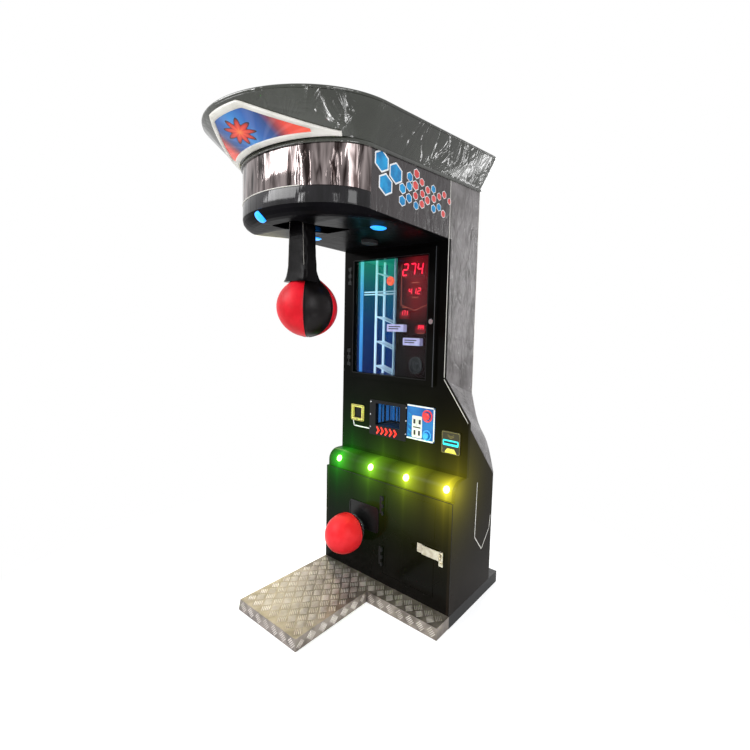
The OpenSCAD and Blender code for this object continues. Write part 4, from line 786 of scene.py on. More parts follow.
def path_tube(
    name: str, path: Array, r: float, finish: Finish, body: str = "body", closed: bool = False, n: int = 8
) -> Item:
    """A round tube along a path.

    Each ring lies across the path's direction; its two axes come from the direction and a
    reference that is steady along the path.

    Args:
        name: the piece's name.
        path: (m, 3) places.
        r: the tube's radius.
        finish: its finish.
        body: the CAD body that it moves with.
        closed: whether the path is a loop.
        n: points round the tube.

    Returns:
        The object.
    """
    step = np.roll(path, -1, 0) - np.roll(path, 1, 0) if closed else np.gradient(path, axis=0)
    step = unit(step)
    across = np.cross(step, path - path.mean(0))
    across /= np.linalg.norm(across, axis=1, keepdims=True) + 1e-9
    other = np.cross(across, step)
    a = turns(n)[None, :, None]
    rings = path[:, None] + r * (np.cos(a) * other[:, None] + np.sin(a) * across[:, None])
    return tube(name, rings, finish, body, closed, sharp=60.0)


# The machine's own planes, in millimetres, as in the CAD frame


@dataclass(frozen=True)
class Plan:
    """Planes and heights of the cabinet."""

    left: float = -378.0
    right: float = 450.0
    head: float = 307.0
    mid: float = -35.5
    half: float = 342.5
    rear: float = 508.0
    column: float = 251.0
    front: float = 146.0
    strip: float = 55.0
    arm: float = -338.0
    straight: float = -239.0
    nose: float = 195.0
    floor: float = 1732.0
    deck: float = 58.0
    side_high: float = 292.0
    lip_slope: float = 0.0935
    rim_z: float = 2168.0
    rim_back: float = 555.0
    rim_slope: float = 0.13

    def lip(self, y: Array | float) -> Array | float:
        """Height of the hood's foot at depth y."""
        return self.floor + self.side_high - (self.rear - y) * self.lip_slope

    def rim(self, y: Array | float) -> Array | float:
        """Height of the hood's rim at depth y."""
        return self.rim_z - (self.rim_back - y) * self.rim_slope


PLAN = Plan()


@dataclass
class Hood:
    """The flared hood: dark lip, inclined skirt, soft rim and shallow crown."""

    side: float = 72.0
    front: float = 161.0
    back: float = 47.0
    band: float = 12.0
    crown: float = 37.0
    corner: float = 40.0
    top: float = 2199.6
    hollow: float = 5.0
    # The lip's section: how far out and up of the foot, in millimetres
    lip: tuple[tuple[float, float], ...] = (
        (0.6, -13.6), (5.0, -14), (6.6, -12.4), (6.6, -2), (5.4, -0.4), (0.8, 0)
    )
    crown_shares: tuple[float, ...] = (0.03, 0.07, 0.14, 0.24, 0.36, 0.5, 0.64, 0.78, 0.9, 1.0)

    def outline(self, a: float, b: float, ys: float, yb: float, rc: float) -> Array:
        """A closed U: two straight sides, a half ellipse in front and a straight back.

        Args:
            a: half width.
            b: the ellipse's reach.
            ys: where the sides end in front.
            yb: the back's place.
            rc: radius of the rear corners.

        Returns:
            (n, 2) points, from the right rear corner over the front.
        """
        t = np.linspace(0, 1, 25)[1:-1]
        turn = np.linspace(0, np.pi, 97)
        k = np.linspace(0, np.pi / 2, 9)
        corner = np.stack([PLAN.mid + a - rc + rc * np.sin(k), yb - rc + rc * np.cos(k)], -1)
        right = np.stack([np.full(23, PLAN.mid + a), yb - rc + (ys - yb + rc) * t], -1)
        nose = np.stack([PLAN.mid + a * np.cos(turn), ys - b * np.sin(turn)], -1)
        mirror = np.array([-1.0, 1.0])
        shift = np.array([2 * PLAN.mid, 0.0])
        left, other = right[::-1] * mirror + shift, corner[::-1] * mirror + shift
        back = np.stack([PLAN.mid + (a - rc) * (2 * t - 1), np.full(23, yb)], -1)
        return np.concatenate([corner, right, nose, left, other, back])

    def foot(self, off: float, dz: float) -> Array:
        """Ring at the foot, off outwards and dz up."""
        flat = self.outline(PLAN.half + off, PLAN.nose + off, PLAN.straight, PLAN.rear + off, max(1.0, off))
        return np.column_stack([flat, PLAN.lip(flat[:, 1]) + dz])

    def rim_ring(self, off: float, dz: float) -> Array:
        """Ring at the rim, off outwards and dz up."""
        flat = self.outline(
            PLAN.half + self.side + off, PLAN.nose + self.front + off, PLAN.straight,
            PLAN.rear + self.back + off, self.corner
        )
        return np.column_stack([flat, PLAN.rim(flat[:, 1]) + dz])

    def crown_ring(self, s: float) -> Array:
        """Ring on the crown: s = 0 at the rim, 1 on the ridge; its rise is 1 - (1 - s) squared."""
        rim = self.rim_ring(0, 0)
        ridge = self.outline(26, 20, PLAN.straight + 90, 420, 4.0)
        flat = rim[:, :2] * (1 - s) + ridge * s
        rise = self.crown * (1 - (1 - s) ** 2)
        return np.column_stack([flat, np.minimum(PLAN.rim(flat[:, 1]) + self.band + rise, self.top)])

    def build(self) -> None:
        """Make the shell: lip, skirt with a slight hollow, rounded rim and crown."""
        foot, rim = self.foot(0, 0), self.rim_ring(0, 0)
        rings = [self.foot(off, dz) for off, dz in self.lip]
        for t in np.linspace(0.03, 0.985, 14):
            ring = foot * (1 - t) + rim * t
            ring[:, 2] -= self.hollow * np.sin(np.pi * t)
            rings.append(ring)
        for a in np.linspace(-60, 90, 9):
            c, s = np.cos(np.radians(a)), np.sin(np.radians(a))
            rings.append(self.rim_ring(-6 + 6 * c, self.band / 2 + 6 * s))
        rings += [self.crown_ring(s) for s in self.crown_shares]
        hood = tube("hood_skin", np.stack(rings), HOOD_ABS, sharp=38.0)
        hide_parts("hood_shell")


def skirt(a: Array, t: Array, out: Array | float) -> Array:
    """Places on the hood's skirt round the nose.

    The foot and the rim are half ellipses; t runs between them, and out stands along the
    normal, the cross product of the skirt's rise and its run.

    Args:
        a: angle in degrees, 0 at the right, 90 in front.
        t: share of the skirt's height.
        out: distance out of the surface in millimetres.

    Returns:
        (..., 3) places.
    """

    def edge(deg: Array, wide: float, deep: float, height: Callable[[Array], Array]) -> Array:
        """Places on one edge of the skirt."""
        c, s = np.cos(np.radians(deg)), np.sin(np.radians(deg))
        y = PLAN.straight - deep * s
        return np.stack([PLAN.mid + wide * c, y, height(y)], -1)

    def at(deg: Array) -> tuple[Array, Array]:
        """The two edges' places at an angle."""
        wide, deep = PLAN.half + Hood.side, PLAN.nose + Hood.front
        return edge(deg, PLAN.half, PLAN.nose, PLAN.lip), edge(deg, wide, deep, PLAN.rim)

    foot, rim = at(a)
    foot2, rim2 = at(a + 0.5)
    t = np.asarray(t)[..., None]
    p, q = foot * (1 - t) + rim * t, foot2 * (1 - t) + rim2 * t
    normal = unit(np.cross(rim - foot, q - p))
    p = p - np.array([0, 0, Hood.hollow]) * np.sin(np.pi * t)
    return p + normal * np.asarray(out)[..., None]


@dataclass
class Marquee:
    """The leaf-shaped sign on the hood's front: a raised pale frame round a printed panel."""

    reach: float = 61.0
    inner: float = 41.0
    foot: float = 0.05
    share: float = 0.12

    def rise(self, a: Array) -> Array:
        """Upper edge at an angle: full over the nose, falling to both sides."""
        far = np.clip(1 - (np.abs(a - 90) - 12) / 50, 0, 1)
        return 0.17 + 0.77 * far**1.6

    def build(self) -> None:
        """Make the frame and its panel."""
        n = 60
        run = np.linspace(-1, 1, n)

        def around(reach: float) -> Array:
            """Angles round an outline: its foot, its left end, its top and its right end."""
            return np.concatenate(
                [90 + run * reach, np.full(6, 90 + reach), 90 - run * reach, np.full(6, 90 - reach)]
            )

        edge = np.linspace(0, 1, 8)[1:-1]
        out_a = around(self.reach)
        rise_end = self.rise(np.array([90 + self.reach]))[0]
        out_t = np.concatenate(
            [
                np.full(n, self.foot), self.foot + (rise_end - self.foot) * edge,
                self.rise(90 + run[::-1] * self.reach), rise_end + (self.foot - rise_end) * edge
            ]
        )
        in_foot = self.foot + self.share
        in_a = around(self.inner)
        in_rise = self.rise(90 + run[::-1] * self.inner) - self.share
        in_t = np.concatenate(
            [
                np.full(n, in_foot), np.full(6, in_foot + 0.004), np.maximum(in_rise, in_foot + 0.006),
                np.full(6, in_foot + 0.004)
            ]
        )
        w = np.array([0.0, 0.0, 0.04, 0.12, 0.3, 0.5, 0.7, 0.88, 0.96, 1.0, 1.0])
        h = np.array([0.6, 4.0, 6.6, 8.0, 8.6, 8.8, 8.6, 8.0, 6.6, 4.0, 0.6])
        a = out_a[None] + (in_a - out_a)[None] * w[:, None]
        t = out_t[None] + (in_t - out_t)[None] * w[:, None]
        rings = skirt(a, t, h[:, None] + 0 * a)
        frame_piece = tube("marquee_moulding", np.swapaxes(rings, 0, 1), PALE_TRIM, closed=True, sharp=50)
        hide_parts("marquee_frame")
        u = np.linspace(0, 1, 90)
        a = 90 - (self.inner + 1) + 2 * (self.inner + 1) * u
        low = np.full(90, in_foot - 0.02)
        top = np.maximum(self.rise(a) - self.share + 0.02, low + 0.01)
        v = np.linspace(0, 1, 24)
        t = low[:, None] + (top - low)[:, None] * v
        front = skirt(a[:, None] + 0 * t, t, 4.2 + 0 * t)
        back = skirt(a[:, None] + 0 * t, t, 0.8 + 0 * t)
        points = np.concatenate([front.reshape(-1, 3), back.reshape(-1, 3)])
        grid = quads(90, 24)
        panel = piece(
            "marquee_sheet", points, [grid, grid[:, ::-1] + 90 * 24, self.rim_faces(90, 24)], PLATE_BLUE
        )
        layer = panel.data.uv_layers.new(name="Sheet")
        corner = np.empty(len(panel.data.loops), int)
        panel.data.loops.foreach_get("vertex_index", corner)
        flat = np.stack([np.repeat(u, 24), t.reshape(-1)], -1)
        flat = np.concatenate([flat, flat])
        layer.data.foreach_set("uv", flat[corner].astype(np.float32).ravel())
        panel.data.materials[0] = self.artwork()
        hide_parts("marquee_panel")

    @staticmethod
    def rim_faces(rows: int, cols: int) -> Array:
        """Faces that join a grid's border to that of its copy behind it."""
        top = np.arange(cols)
        right = np.arange(rows) * cols + cols - 1
        loop = np.concatenate(
            [
                top, right[1:], ((rows - 1) * cols + np.arange(cols))[::-1][1:],
                (np.arange(rows) * cols)[::-1][1:-1]
            ]
        )
        after = np.roll(loop, -1)
        k = rows * cols
        return np.stack([loop, after, after + k, loop + k], -1)

    def artwork(self) -> bpy.types.Material:
        """A generic print: a pale-rayed blue field, red tails, and an orange burst with dark edges.

        The burst's radius swings with the cosine of nine times the angle about its centre.
        """
        item, bsdf = finished(
            "marquee_print_sheet", Finish("sheet", "#2058a8", rough=0.2, grain_mm=60, depth_mm=0.1)
        )
        tree = item.node_tree
        uv = add(tree, "UVMap", {"uv_map": "Sheet"}).outputs[0]
        split = add(tree, "SeparateXYZ", Vector=uv)
        side = add(tree, "Math", {"operation": "SUBTRACT", 1: 0.5}, in0=split.outputs[0])
        far = add(tree, "Math", {"operation": "ABSOLUTE"}, in0=side)
        field = ramp(
            tree, far.outputs[0],
            [
                (0.0, "#2f82c8"), (0.12, "#1b57a4"), (0.21, "#18407e"), (0.26, "#7a2c3e"), (0.33, "#de3c2b"),
                (0.5, "#ef5334")
            ]
        )
        ray = add(tree, "Math", {"operation": "ARCTAN2"}, in0=side, in1=split.outputs[1])
        beat = add(tree, "Math", {"operation": "MULTIPLY", 1: 22.0}, in0=ray)
        wave = add(tree, "Math", {"operation": "SINE"}, in0=beat)
        soft = ramp(tree, wave.outputs[0], [(0.1, "#000000"), (0.95, "#3a3a3a")])
        light = add(
            tree, "Mix", {"data_type": "RGBA", "blend_type": "ADD", "Factor": 0.8}, in6=field, in7=soft
        )
        dx = add(tree, "Math", {"operation": "MULTIPLY_ADD", 1: 1.9, 2: -0.53 * 1.9}, in0=split.outputs[0])
        dy = add(tree, "Math", {"operation": "SUBTRACT", 1: 0.47}, in0=split.outputs[1])
        turn = add(tree, "Math", {"operation": "ARCTAN2"}, in0=dy, in1=dx)
        nine = add(tree, "Math", {"operation": "MULTIPLY", 1: 9.0}, in0=turn)
        points = add(tree, "Math", {"operation": "COSINE"}, in0=nine)
        edge = add(tree, "Math", {"operation": "MULTIPLY_ADD", 1: 0.05, 2: 0.19}, in0=points)
        squares = [add(tree, "Math", {"operation": "POWER", 1: 2.0}, in0=v) for v in (dx, dy)]
        total = add(tree, "Math", {"operation": "ADD"}, in0=squares[0], in1=squares[1])
        root = add(tree, "Math", {"operation": "SQRT"}, in0=total)
        share = add(tree, "Math", {"operation": "DIVIDE"}, in0=root, in1=edge)
        half = add(tree, "Math", {"operation": "MULTIPLY", 1: 0.5}, in0=share)
        burst = ramp(
            tree, half.outputs[0],
            [
                (0.0, "#f0803c"), (0.2, "#e4482c"), (0.4, "#c8281f"), (0.5, "#7a1512"), (0.53, "#1a1022"),
                (0.57, "#1a1022")
            ]
        )
        inside = add(tree, "Math", {"operation": "LESS_THAN", 1: 0.57}, in0=half)
        light = add(tree, "Mix", {"data_type": "RGBA"}, in0=inside, in6=light.outputs[2], in7=burst)
        tree.links.new(light.outputs[2], bsdf.inputs["Base Color"])
        tree.links.new(light.outputs[2], bsdf.inputs["Emission Color"])
        bsdf.inputs["Emission Strength"].default_value = 0.25
        return item


@dataclass
class NoseBand:
    """The nose's wall: mirror acrylic above, black gloss under it, and a pale bead between."""

    split: float = 1790.0

    def wall(self, name: str, low: float, high: float | None, finish: Finish) -> Item:
        """Carry a rounded wall section round the half ellipse from the right side to the left.

        Args:
            name: the piece's name.
            low: height of its lower edge.
            high: height of its upper edge, or None for the hood's foot.
            finish: its finish.

        Returns:
            The object.
        """
        turn = np.linspace(0, np.pi, 145)
        c, s = np.cos(turn)[:, None], np.sin(turn)[:, None]
        d = np.array([0.0, 0.3, 5.0, 6.0, 6.0, 5.0, 0.3, 0.0])
        lift = np.array([0.8, 0.0, 0.0, 0.8])
        x = PLAN.mid + (PLAN.half - d) * c
        y = PLAN.straight - (PLAN.nose - d) * s
        top = (PLAN.lip(y) + 6)[:, 4:] if high is None else high - lift[::-1] + 0 * c
        z = np.concatenate([low + lift + 0 * c, top], axis=1)
        return tube(name, np.stack([x, y, z], -1), finish, flip=True, sharp=50)

    def build(self) -> None:
        """Make both parts of the wall and the bead."""
        band = self.wall("mirror_band", self.split, None, MIRROR_WITH_PAINTED_STREAKS)
        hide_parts("nose_band")
        lower = self.wall("nose_lower_wall", PLAN.floor, self.split, BLACK_GLOSS)
        turn = np.linspace(np.radians(60), np.radians(178), 145)
        bead = np.stack(
            [
                PLAN.mid + (PLAN.half + 0.2) * np.cos(turn), PLAN.straight - (PLAN.nose + 0.2) * np.sin(turn),
                np.full(145, self.split)
            ], -1
        )
        path_tube("band_lower_bead", bead, 1.6, PALE_TRIM)


@dataclass
class Ball:
    """The pear-shaped ball of four sewn gores and its padded sleeve."""

    x: float = -35.5
    y: float = -243.0
    z: float = 1388.0
    r: float = 117.0
    neck: float = 33.0
    lean: float = -18.0
    tube_y: float = -262.0
    sleeve_top: float = 1754.0
    hem_half: float = 66.0
    top_half: float = 52.5
    sleeve_deep: float = 28.0
    sleeve_set: float = 8.5
    flare_high: float = 26.0
    flare_side: float = 5.0
    flare_front: float = 18.0
    flare_back: float = 24.0
    black_mid: float = -13.0
    black_half: float = 31.0
    bend_foot: float = 94.0
    bend_run: float = 56.0
    seam_dip: float = 2.2
    seam_half: float = 3.2
    puff: float = 1.2
    welt_r: float = 2.0
    corner: float = 0.36
    roll_in: float = 5.0
    stitches: int = 44

    @property
    def seams(self) -> tuple[float, ...]:
        """Angles in degrees of the four seams, at both edges of each of the two black gores."""
        return tuple(self.black_mid + turn + side * self.black_half for turn in (0, 180) for side in (-1, 1))

    def profile(self, n: int = 64) -> Array:
        """Radius and height from the ball's foot to the neck's top.

        A circle runs up to 42 degrees above the equator, and a smooth cubic leads from there
        into the neck.
        """
        a = np.radians(np.linspace(-89.5, 42, n))
        ball = np.stack([self.r * np.cos(a), self.r * np.sin(a)], -1)
        u = np.linspace(0, 1, 18)[1:, None]
        p0, p3 = ball[-1], np.array([self.neck, self.r * 1.3])
        p1, p2 = p0 + np.array([-0.67, 0.74]) * 26, p3 - np.array([0, 1]) * 30
        lead = (1 - u) ** 3 * p0 + 3 * u * (1 - u) ** 2 * p1 + 3 * u**2 * (1 - u) * p2 + u**3 * p3
        return np.concatenate([ball, lead])

    def bend(self, height: Array) -> Array:
        """How far the neck leans towards the arm: a smooth step over bend_run, from bend_foot up."""
        t = np.clip((height - self.bend_foot) / self.bend_run, 0, 1)
        return self.lean * t * t * (3 - 2 * t)

    def build(self) -> None:
        """Make the gores, their welts and the sleeve."""
        profile = self.profile()
        m, n = len(profile), 240
        deg = np.linspace(-180, 180, n, endpoint=False)
        gap = np.min([np.abs((deg - s + 180) % 360 - 180) for s in self.seams], axis=0)
        dip = self.seam_dip * np.exp(-((gap / self.seam_half) ** 2))
        puff = self.puff * np.clip(gap / self.black_half, 0, 1) ** 0.5 - self.puff
        share = np.clip(profile[:, 0] / self.r, 0, 1)[:, None]
        rng = np.random.default_rng(7)
        crease = sum(
            rng.uniform(0.2, 0.6) * np.cos(
                np.radians(k * deg)[None] + rng.uniform(0, 6.28) + profile[:, 1:] * rng.uniform(0.01, 0.05)
            ) for k in (5, 9, 14, 22)
        )
        top = np.clip((profile[:, 1:] - 60) / 70, 0, 1)
        r = profile[:, :1] + (puff - dip)[None] * share + crease * top * 1.1
        a = np.radians(deg)[None]
        rings = np.stack(
            [
                self.x + r * np.cos(a), self.y + self.bend(profile[:, 1:]) + r * np.sin(a),
                self.z + profile[:, 1:] + 0 * a
            ], -1
        )
        item = tube("ball_gores", rings, BLACK_VINYL, "ball", sharp=60)
        item.data.materials.append(material(RED_VINYL))
        mid = deg + 180 / n
        black = np.abs((mid - self.black_mid + 90) % 180 - 90) < self.black_half
        index = np.concatenate([np.tile(np.where(black, 0, 1), m - 1), [1, 0]])
        item.data.polygons.foreach_set("material_index", index.astype(np.int32)[: len(item.data.polygons)])
        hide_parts("bag")
        for k, s in enumerate(self.seams):
            arc = profile[2:-4]
            rad = np.radians(s)
            path = np.stack(
                [
                    self.x + (arc[:, 0] - 1.6) * np.cos(rad),
                    self.y + self.bend(arc[:, 1]) + (arc[:, 0] - 1.6) * np.sin(rad), self.z + arc[:, 1]
                ], -1
            )
            self.welt(f"ball_welt_{k}", path, rad)
        self.sleeve()

    def welt(self, name: str, path: Array, rad: float) -> None:
        """A corded welt along one seam: a round tube whose rings stand across the meridian."""
        side = np.array([-np.sin(rad), np.cos(rad), 0.0])
        out = np.cross(side, unit(np.gradient(path, axis=0)))
        a = turns(8)[None, :, None]
        rings = path[:, None] + self.welt_r * (np.cos(a) * side + np.sin(a) * out[:, None])
        tube(name, rings, BLACK_VINYL, "ball", flip=True, sharp=70)

    def sleeve(self) -> None:
        """The padded sleeve: rounded boxes stacked from the neck up to the pivot.

        Each ring is a superellipse of power 2 / corner whose half width tapers upwards; low waves
        across it are the creases of the padding, both rims roll inwards, and the hem flares as e
        to the power of minus its height over flare_high, so that it lies on the ball's shoulder.
        """
        z0, z1 = self.z + self.r * 0.84, self.sleeve_top
        v = np.concatenate([np.linspace(-0.012, 0, 4), np.linspace(0.01, 0.99, 60), np.linspace(1, 1.008, 4)])
        roll = np.sqrt(np.clip(1 - np.clip(np.maximum(-v / 0.012, (v - 1) / 0.008), 0, 1) ** 2, 0, 1))
        share = np.clip(v, 0, 1)
        half_w = self.hem_half + (self.top_half - self.hem_half) * share
        a = turns(120)
        c, s = np.cos(a), np.sin(a)
        flat_c, flat_s = (np.sign(q) * np.abs(q) ** self.corner for q in (c, s))
        rng = np.random.default_rng(11)
        wave = sum(
            rng.uniform(0.25, 0.7) * np.sin(
                v[:, None] * rng.uniform(14, 60) + a[None] * k + rng.uniform(0, 6)
            ) for k in (1, 2, 3, 5, 8)
        )
        w = half_w[:, None] - self.roll_in * (1 - roll[:, None]) - 1.2 + wave * 0.5
        d = self.sleeve_deep - self.roll_in * (1 - roll[:, None]) + wave * 0.5
        flare = np.exp(-share * (z1 - z0) / self.flare_high)[:, None]
        x = self.x + (w + self.flare_side * flare) * flat_c[None]
        reach = np.where(flat_s < 0, self.flare_front, self.flare_back)
        y = self.tube_y - self.sleeve_set + (d + reach[None] * flare) * flat_s[None]
        z = (z0 + (z1 - z0) * np.clip(v, 0, 1))[:, None] + 0 * a[None]
        item = tube("arm_sleeve_cover", np.stack([x, y, z], -1), SLEEVE_VINYL, "ball", sharp=60)
        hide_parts("arm_sleeve")
        zs = z0 + 62 + np.arange(self.stitches) * (z1 - z0 - 74) / self.stitches
        share = (zs - z0) / (z1 - z0)
        for sgn, tag in ((-1, "left"), (1, "right")):
            u = self.x + sgn * (self.hem_half - (self.hem_half - self.top_half) * share - 13)
            outline = [rect(p - 0.6, p + 0.6, q, q + 4.2) for p, q in zip(u, zs)]
            front = -(self.tube_y - self.sleeve_set - self.sleeve_deep - 0.4)
            plates(f"sleeve_stitches_{tag}", outline, Plane.FRONT, front - 0.6, front + 0.5, THREAD, "ball")


@dataclass
class KickPad:
    """The round red kick pad: a ball-like cushion with a welt at its foot, and its spring."""

    x: float = -129.0
    z: float = 296.0
    back: float = 104.0
    r: float = 97.0
    thick: float = 135.0
    plate: float = 8.0
    foot: float = -15.0
    spring_front: float = 218.0
    spring_end: float = 280.0
    travel: float = 22.0
    coils: int = 7
    coil_r: float = 19.0
    wire: float = 2.0
    welt_in: float = 4.6
    welt_at: float = 13.0
    welt_r: float = 2.2

    def build(self) -> None:
        """Make the cushion, its welt and the spring.

        It is a ball that is cut off 15 degrees behind its widest section, and its side is
        gathered in short radial folds towards the welt.
        """
        a = np.radians(np.linspace(90, self.foot, 56))
        dome = np.stack([self.r * np.cos(a), self.thick - self.r * (1 - np.sin(a))], -1)
        side = np.array([[self.r - 6, 8.5], [self.r - 9, 4.5], [self.r - 14, 1.5], [self.r - 22, 0.6]])
        profile = np.concatenate([dome[1:], side])[::-1]
        rings = turned(profile, (self.x, self.back - self.plate, self.z), "-y", 144)
        deg = np.arctan2(rings[..., 2] - self.z, rings[..., 0] - self.x)
        r = np.hypot(rings[..., 2] - self.z, rings[..., 0] - self.x)
        fold = 0.3 * np.sin(deg * 36) * np.clip((r - self.r + 28) / 28, 0, 1)
        rings[..., 1] += fold
        item = tube("kick_cushion_cover", rings, PAD_VINYL, "kick_pad", sharp=70)
        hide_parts("kick_cushion")
        turn = turns(96)
        r, y = self.r - self.welt_in, self.back - self.plate - self.welt_at
        loop = np.stack([self.x + r * np.cos(turn), np.full(96, y), self.z + r * np.sin(turn)], -1)
        path_tube("kick_cushion_welt", loop, self.welt_r, PAD_VINYL, "kick_pad", closed=True)
        self.spring()

    def spring(self) -> None:
        """The return spring: a helix about the rod that shortens as the pad goes in."""
        turn = np.linspace(0, 2 * np.pi * self.coils, self.coils * 24 + 1)
        y = np.linspace(self.spring_front + self.wire, self.spring_end - self.wire, len(turn))
        path = np.stack([self.x + self.coil_r * np.cos(turn), y, self.z - self.coil_r * np.sin(turn)], -1)
        coil = path_tube("kick_spring_coil", path, self.wire, STEEL, n=10)
        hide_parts("kick_spring")
        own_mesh(coil)


@dataclass
class Tread:
    """The raised bars of the five-bar tread plate, on its top and its front skirts."""

    cell: float = 42.0
    length: float = 35.0
    pitch: float = 7.7
    width: float = 4.4
    high: float = 1.3
    step: float = 33.0

    def lattice(self, u0: float, u1: float, v0: float, v1: float) -> tuple[Array, Array]:
        """Centres and directions of all bars that may lie in a rectangle.

        Groups of five parallel bars fill a square lattice that stands at 45 degrees to the
        plate's edges, and neighbouring groups are turned a right angle.

        Args:
            u0: lowest first coordinate.
            u1: highest first coordinate.
            v0: lowest second coordinate.
            v1: highest second coordinate.

        Returns:
            (k, 2) centres and (k, 2) unit directions.
        """
        n = int(max(u1 - u0, v1 - v0) / self.cell) + 4
        i, j = np.meshgrid(np.arange(-n, n + 1), np.arange(-n, n + 1), indexing="ij")
        i, j = i.ravel(), j.ravel()
        e1, e2 = np.array([1, 1]) / np.sqrt(2), np.array([-1, 1]) / np.sqrt(2)
        mid = np.array([(u0 + u1) / 2, (v0 + v1) / 2])
        centre = mid + self.cell * (i[:, None] * e1 + j[:, None] * e2)
        along = np.where(((i + j) % 2 == 0)[:, None], e1, e2)
        across = np.stack([-along[:, 1], along[:, 0]], -1)
        k = (np.arange(5) - 2)[None, :, None] * self.pitch
        centres = centre[:, None] + across[:, None] * k
        return centres.reshape(-1, 2), np.repeat(along, 5, 0)

    def bars(
        self, name: str, boxes: list[tuple[float, float, float, float]], plane: Plane, level: float
    ) -> None:
        """Make the bars that lie inside any of the boxes.

        A bar is a blunt lens: its width and height fall with the square root of 1 - s to the
        fourth along its length.

        Args:
            name: the piece's name.
            boxes: (u0, u1, v0, v1) of each allowed rectangle.
            plane: the face.
            level: the face's coordinate across it.
        """
        lows, highs = np.min(boxes, 0), np.max(boxes, 0)
        centres, along = self.lattice(lows[0], highs[1], lows[2], highs[3])
        tips = [centres + along * self.length / 2 * s for s in (-1, 1)]
        keep = np.zeros(len(centres), bool)
        for u0, u1, v0, v1 in boxes:
            inside = [(p[:, 0] > u0) & (p[:, 0] < u1) & (p[:, 1] > v0) & (p[:, 1] < v1) for p in tips]
            keep |= inside[0] & inside[1]
        centres, along = centres[keep], along[keep]
        across = np.stack([-along[:, 1], along[:, 0]], -1)
        s = np.array([-1, -0.86, -0.5, 0, 0.5, 0.86, 1.0])
        w = np.array([-1, -0.55, 0, 0.55, 1.0])
        fall = np.sqrt(np.clip(1 - s**4, 0, 1)) * 0.85 + 0.15
        fall[[0, -1]] = 0.12
        run = (s * self.length / 2)[None, :, None, None]
        rise = (w[None, :] * fall[:, None] * self.width / 2)[None, :, :, None]
        uv = centres[:, None, None] + along[:, None, None] * run + across[:, None, None] * rise
        h = self.high * fall[:, None] * np.sqrt(np.clip(1 - (w * 0.98) ** 2, 0, 1))[None, :] - 0.25
        height = level + np.broadcast_to(h, uv.shape[:3])
        points = on_plane(plane, uv[..., 0], uv[..., 1], height)
        grid = quads(7, 5)
        faces = (grid[None] + (np.arange(len(centres)) * 35)[:, None, None]).reshape(-1, 4)
        piece(name, points, [faces], TREAD_BAR, "body", 60)

    def build(self) -> None:
        """Make the bars of the top and of the skirts."""
        p = PLAN
        self.bars(
            "tread_bars_top",
            [
                (p.left + 5, self.step - 5, p.arm + 5, p.front - 2),
                (p.left + 5, p.right - 5, p.strip + 5, p.front - 2)
            ], Plane.TOP, p.deck
        )
        self.bars("tread_bars_arm_front", [(p.left + 3, self.step - 3, 5, 55)], Plane.FRONT, -p.arm)
        self.bars("tread_bars_strip_front", [(self.step + 4, p.right - 3, 5, 55)], Plane.FRONT, -p.strip)
        # Painted shade: a thin black plate where the skirts' ends leave a dark gap at the inner corner
        gap = np.array(
            [[[self.step + 0.5, 5], [self.step + 7, 5], [self.step + 4.5, 57], [self.step + 2.5, 57]]]
        )
        plates("skirt_corner_painted_shade", gap, Plane.FRONT, -p.strip - 0.4, -p.strip + 0.3, PRINT_BLACK)
        self.bars("tread_bars_arm_side", [(p.arm + 3, p.strip - 4, 5, 55)], Plane.RIGHT, self.step)


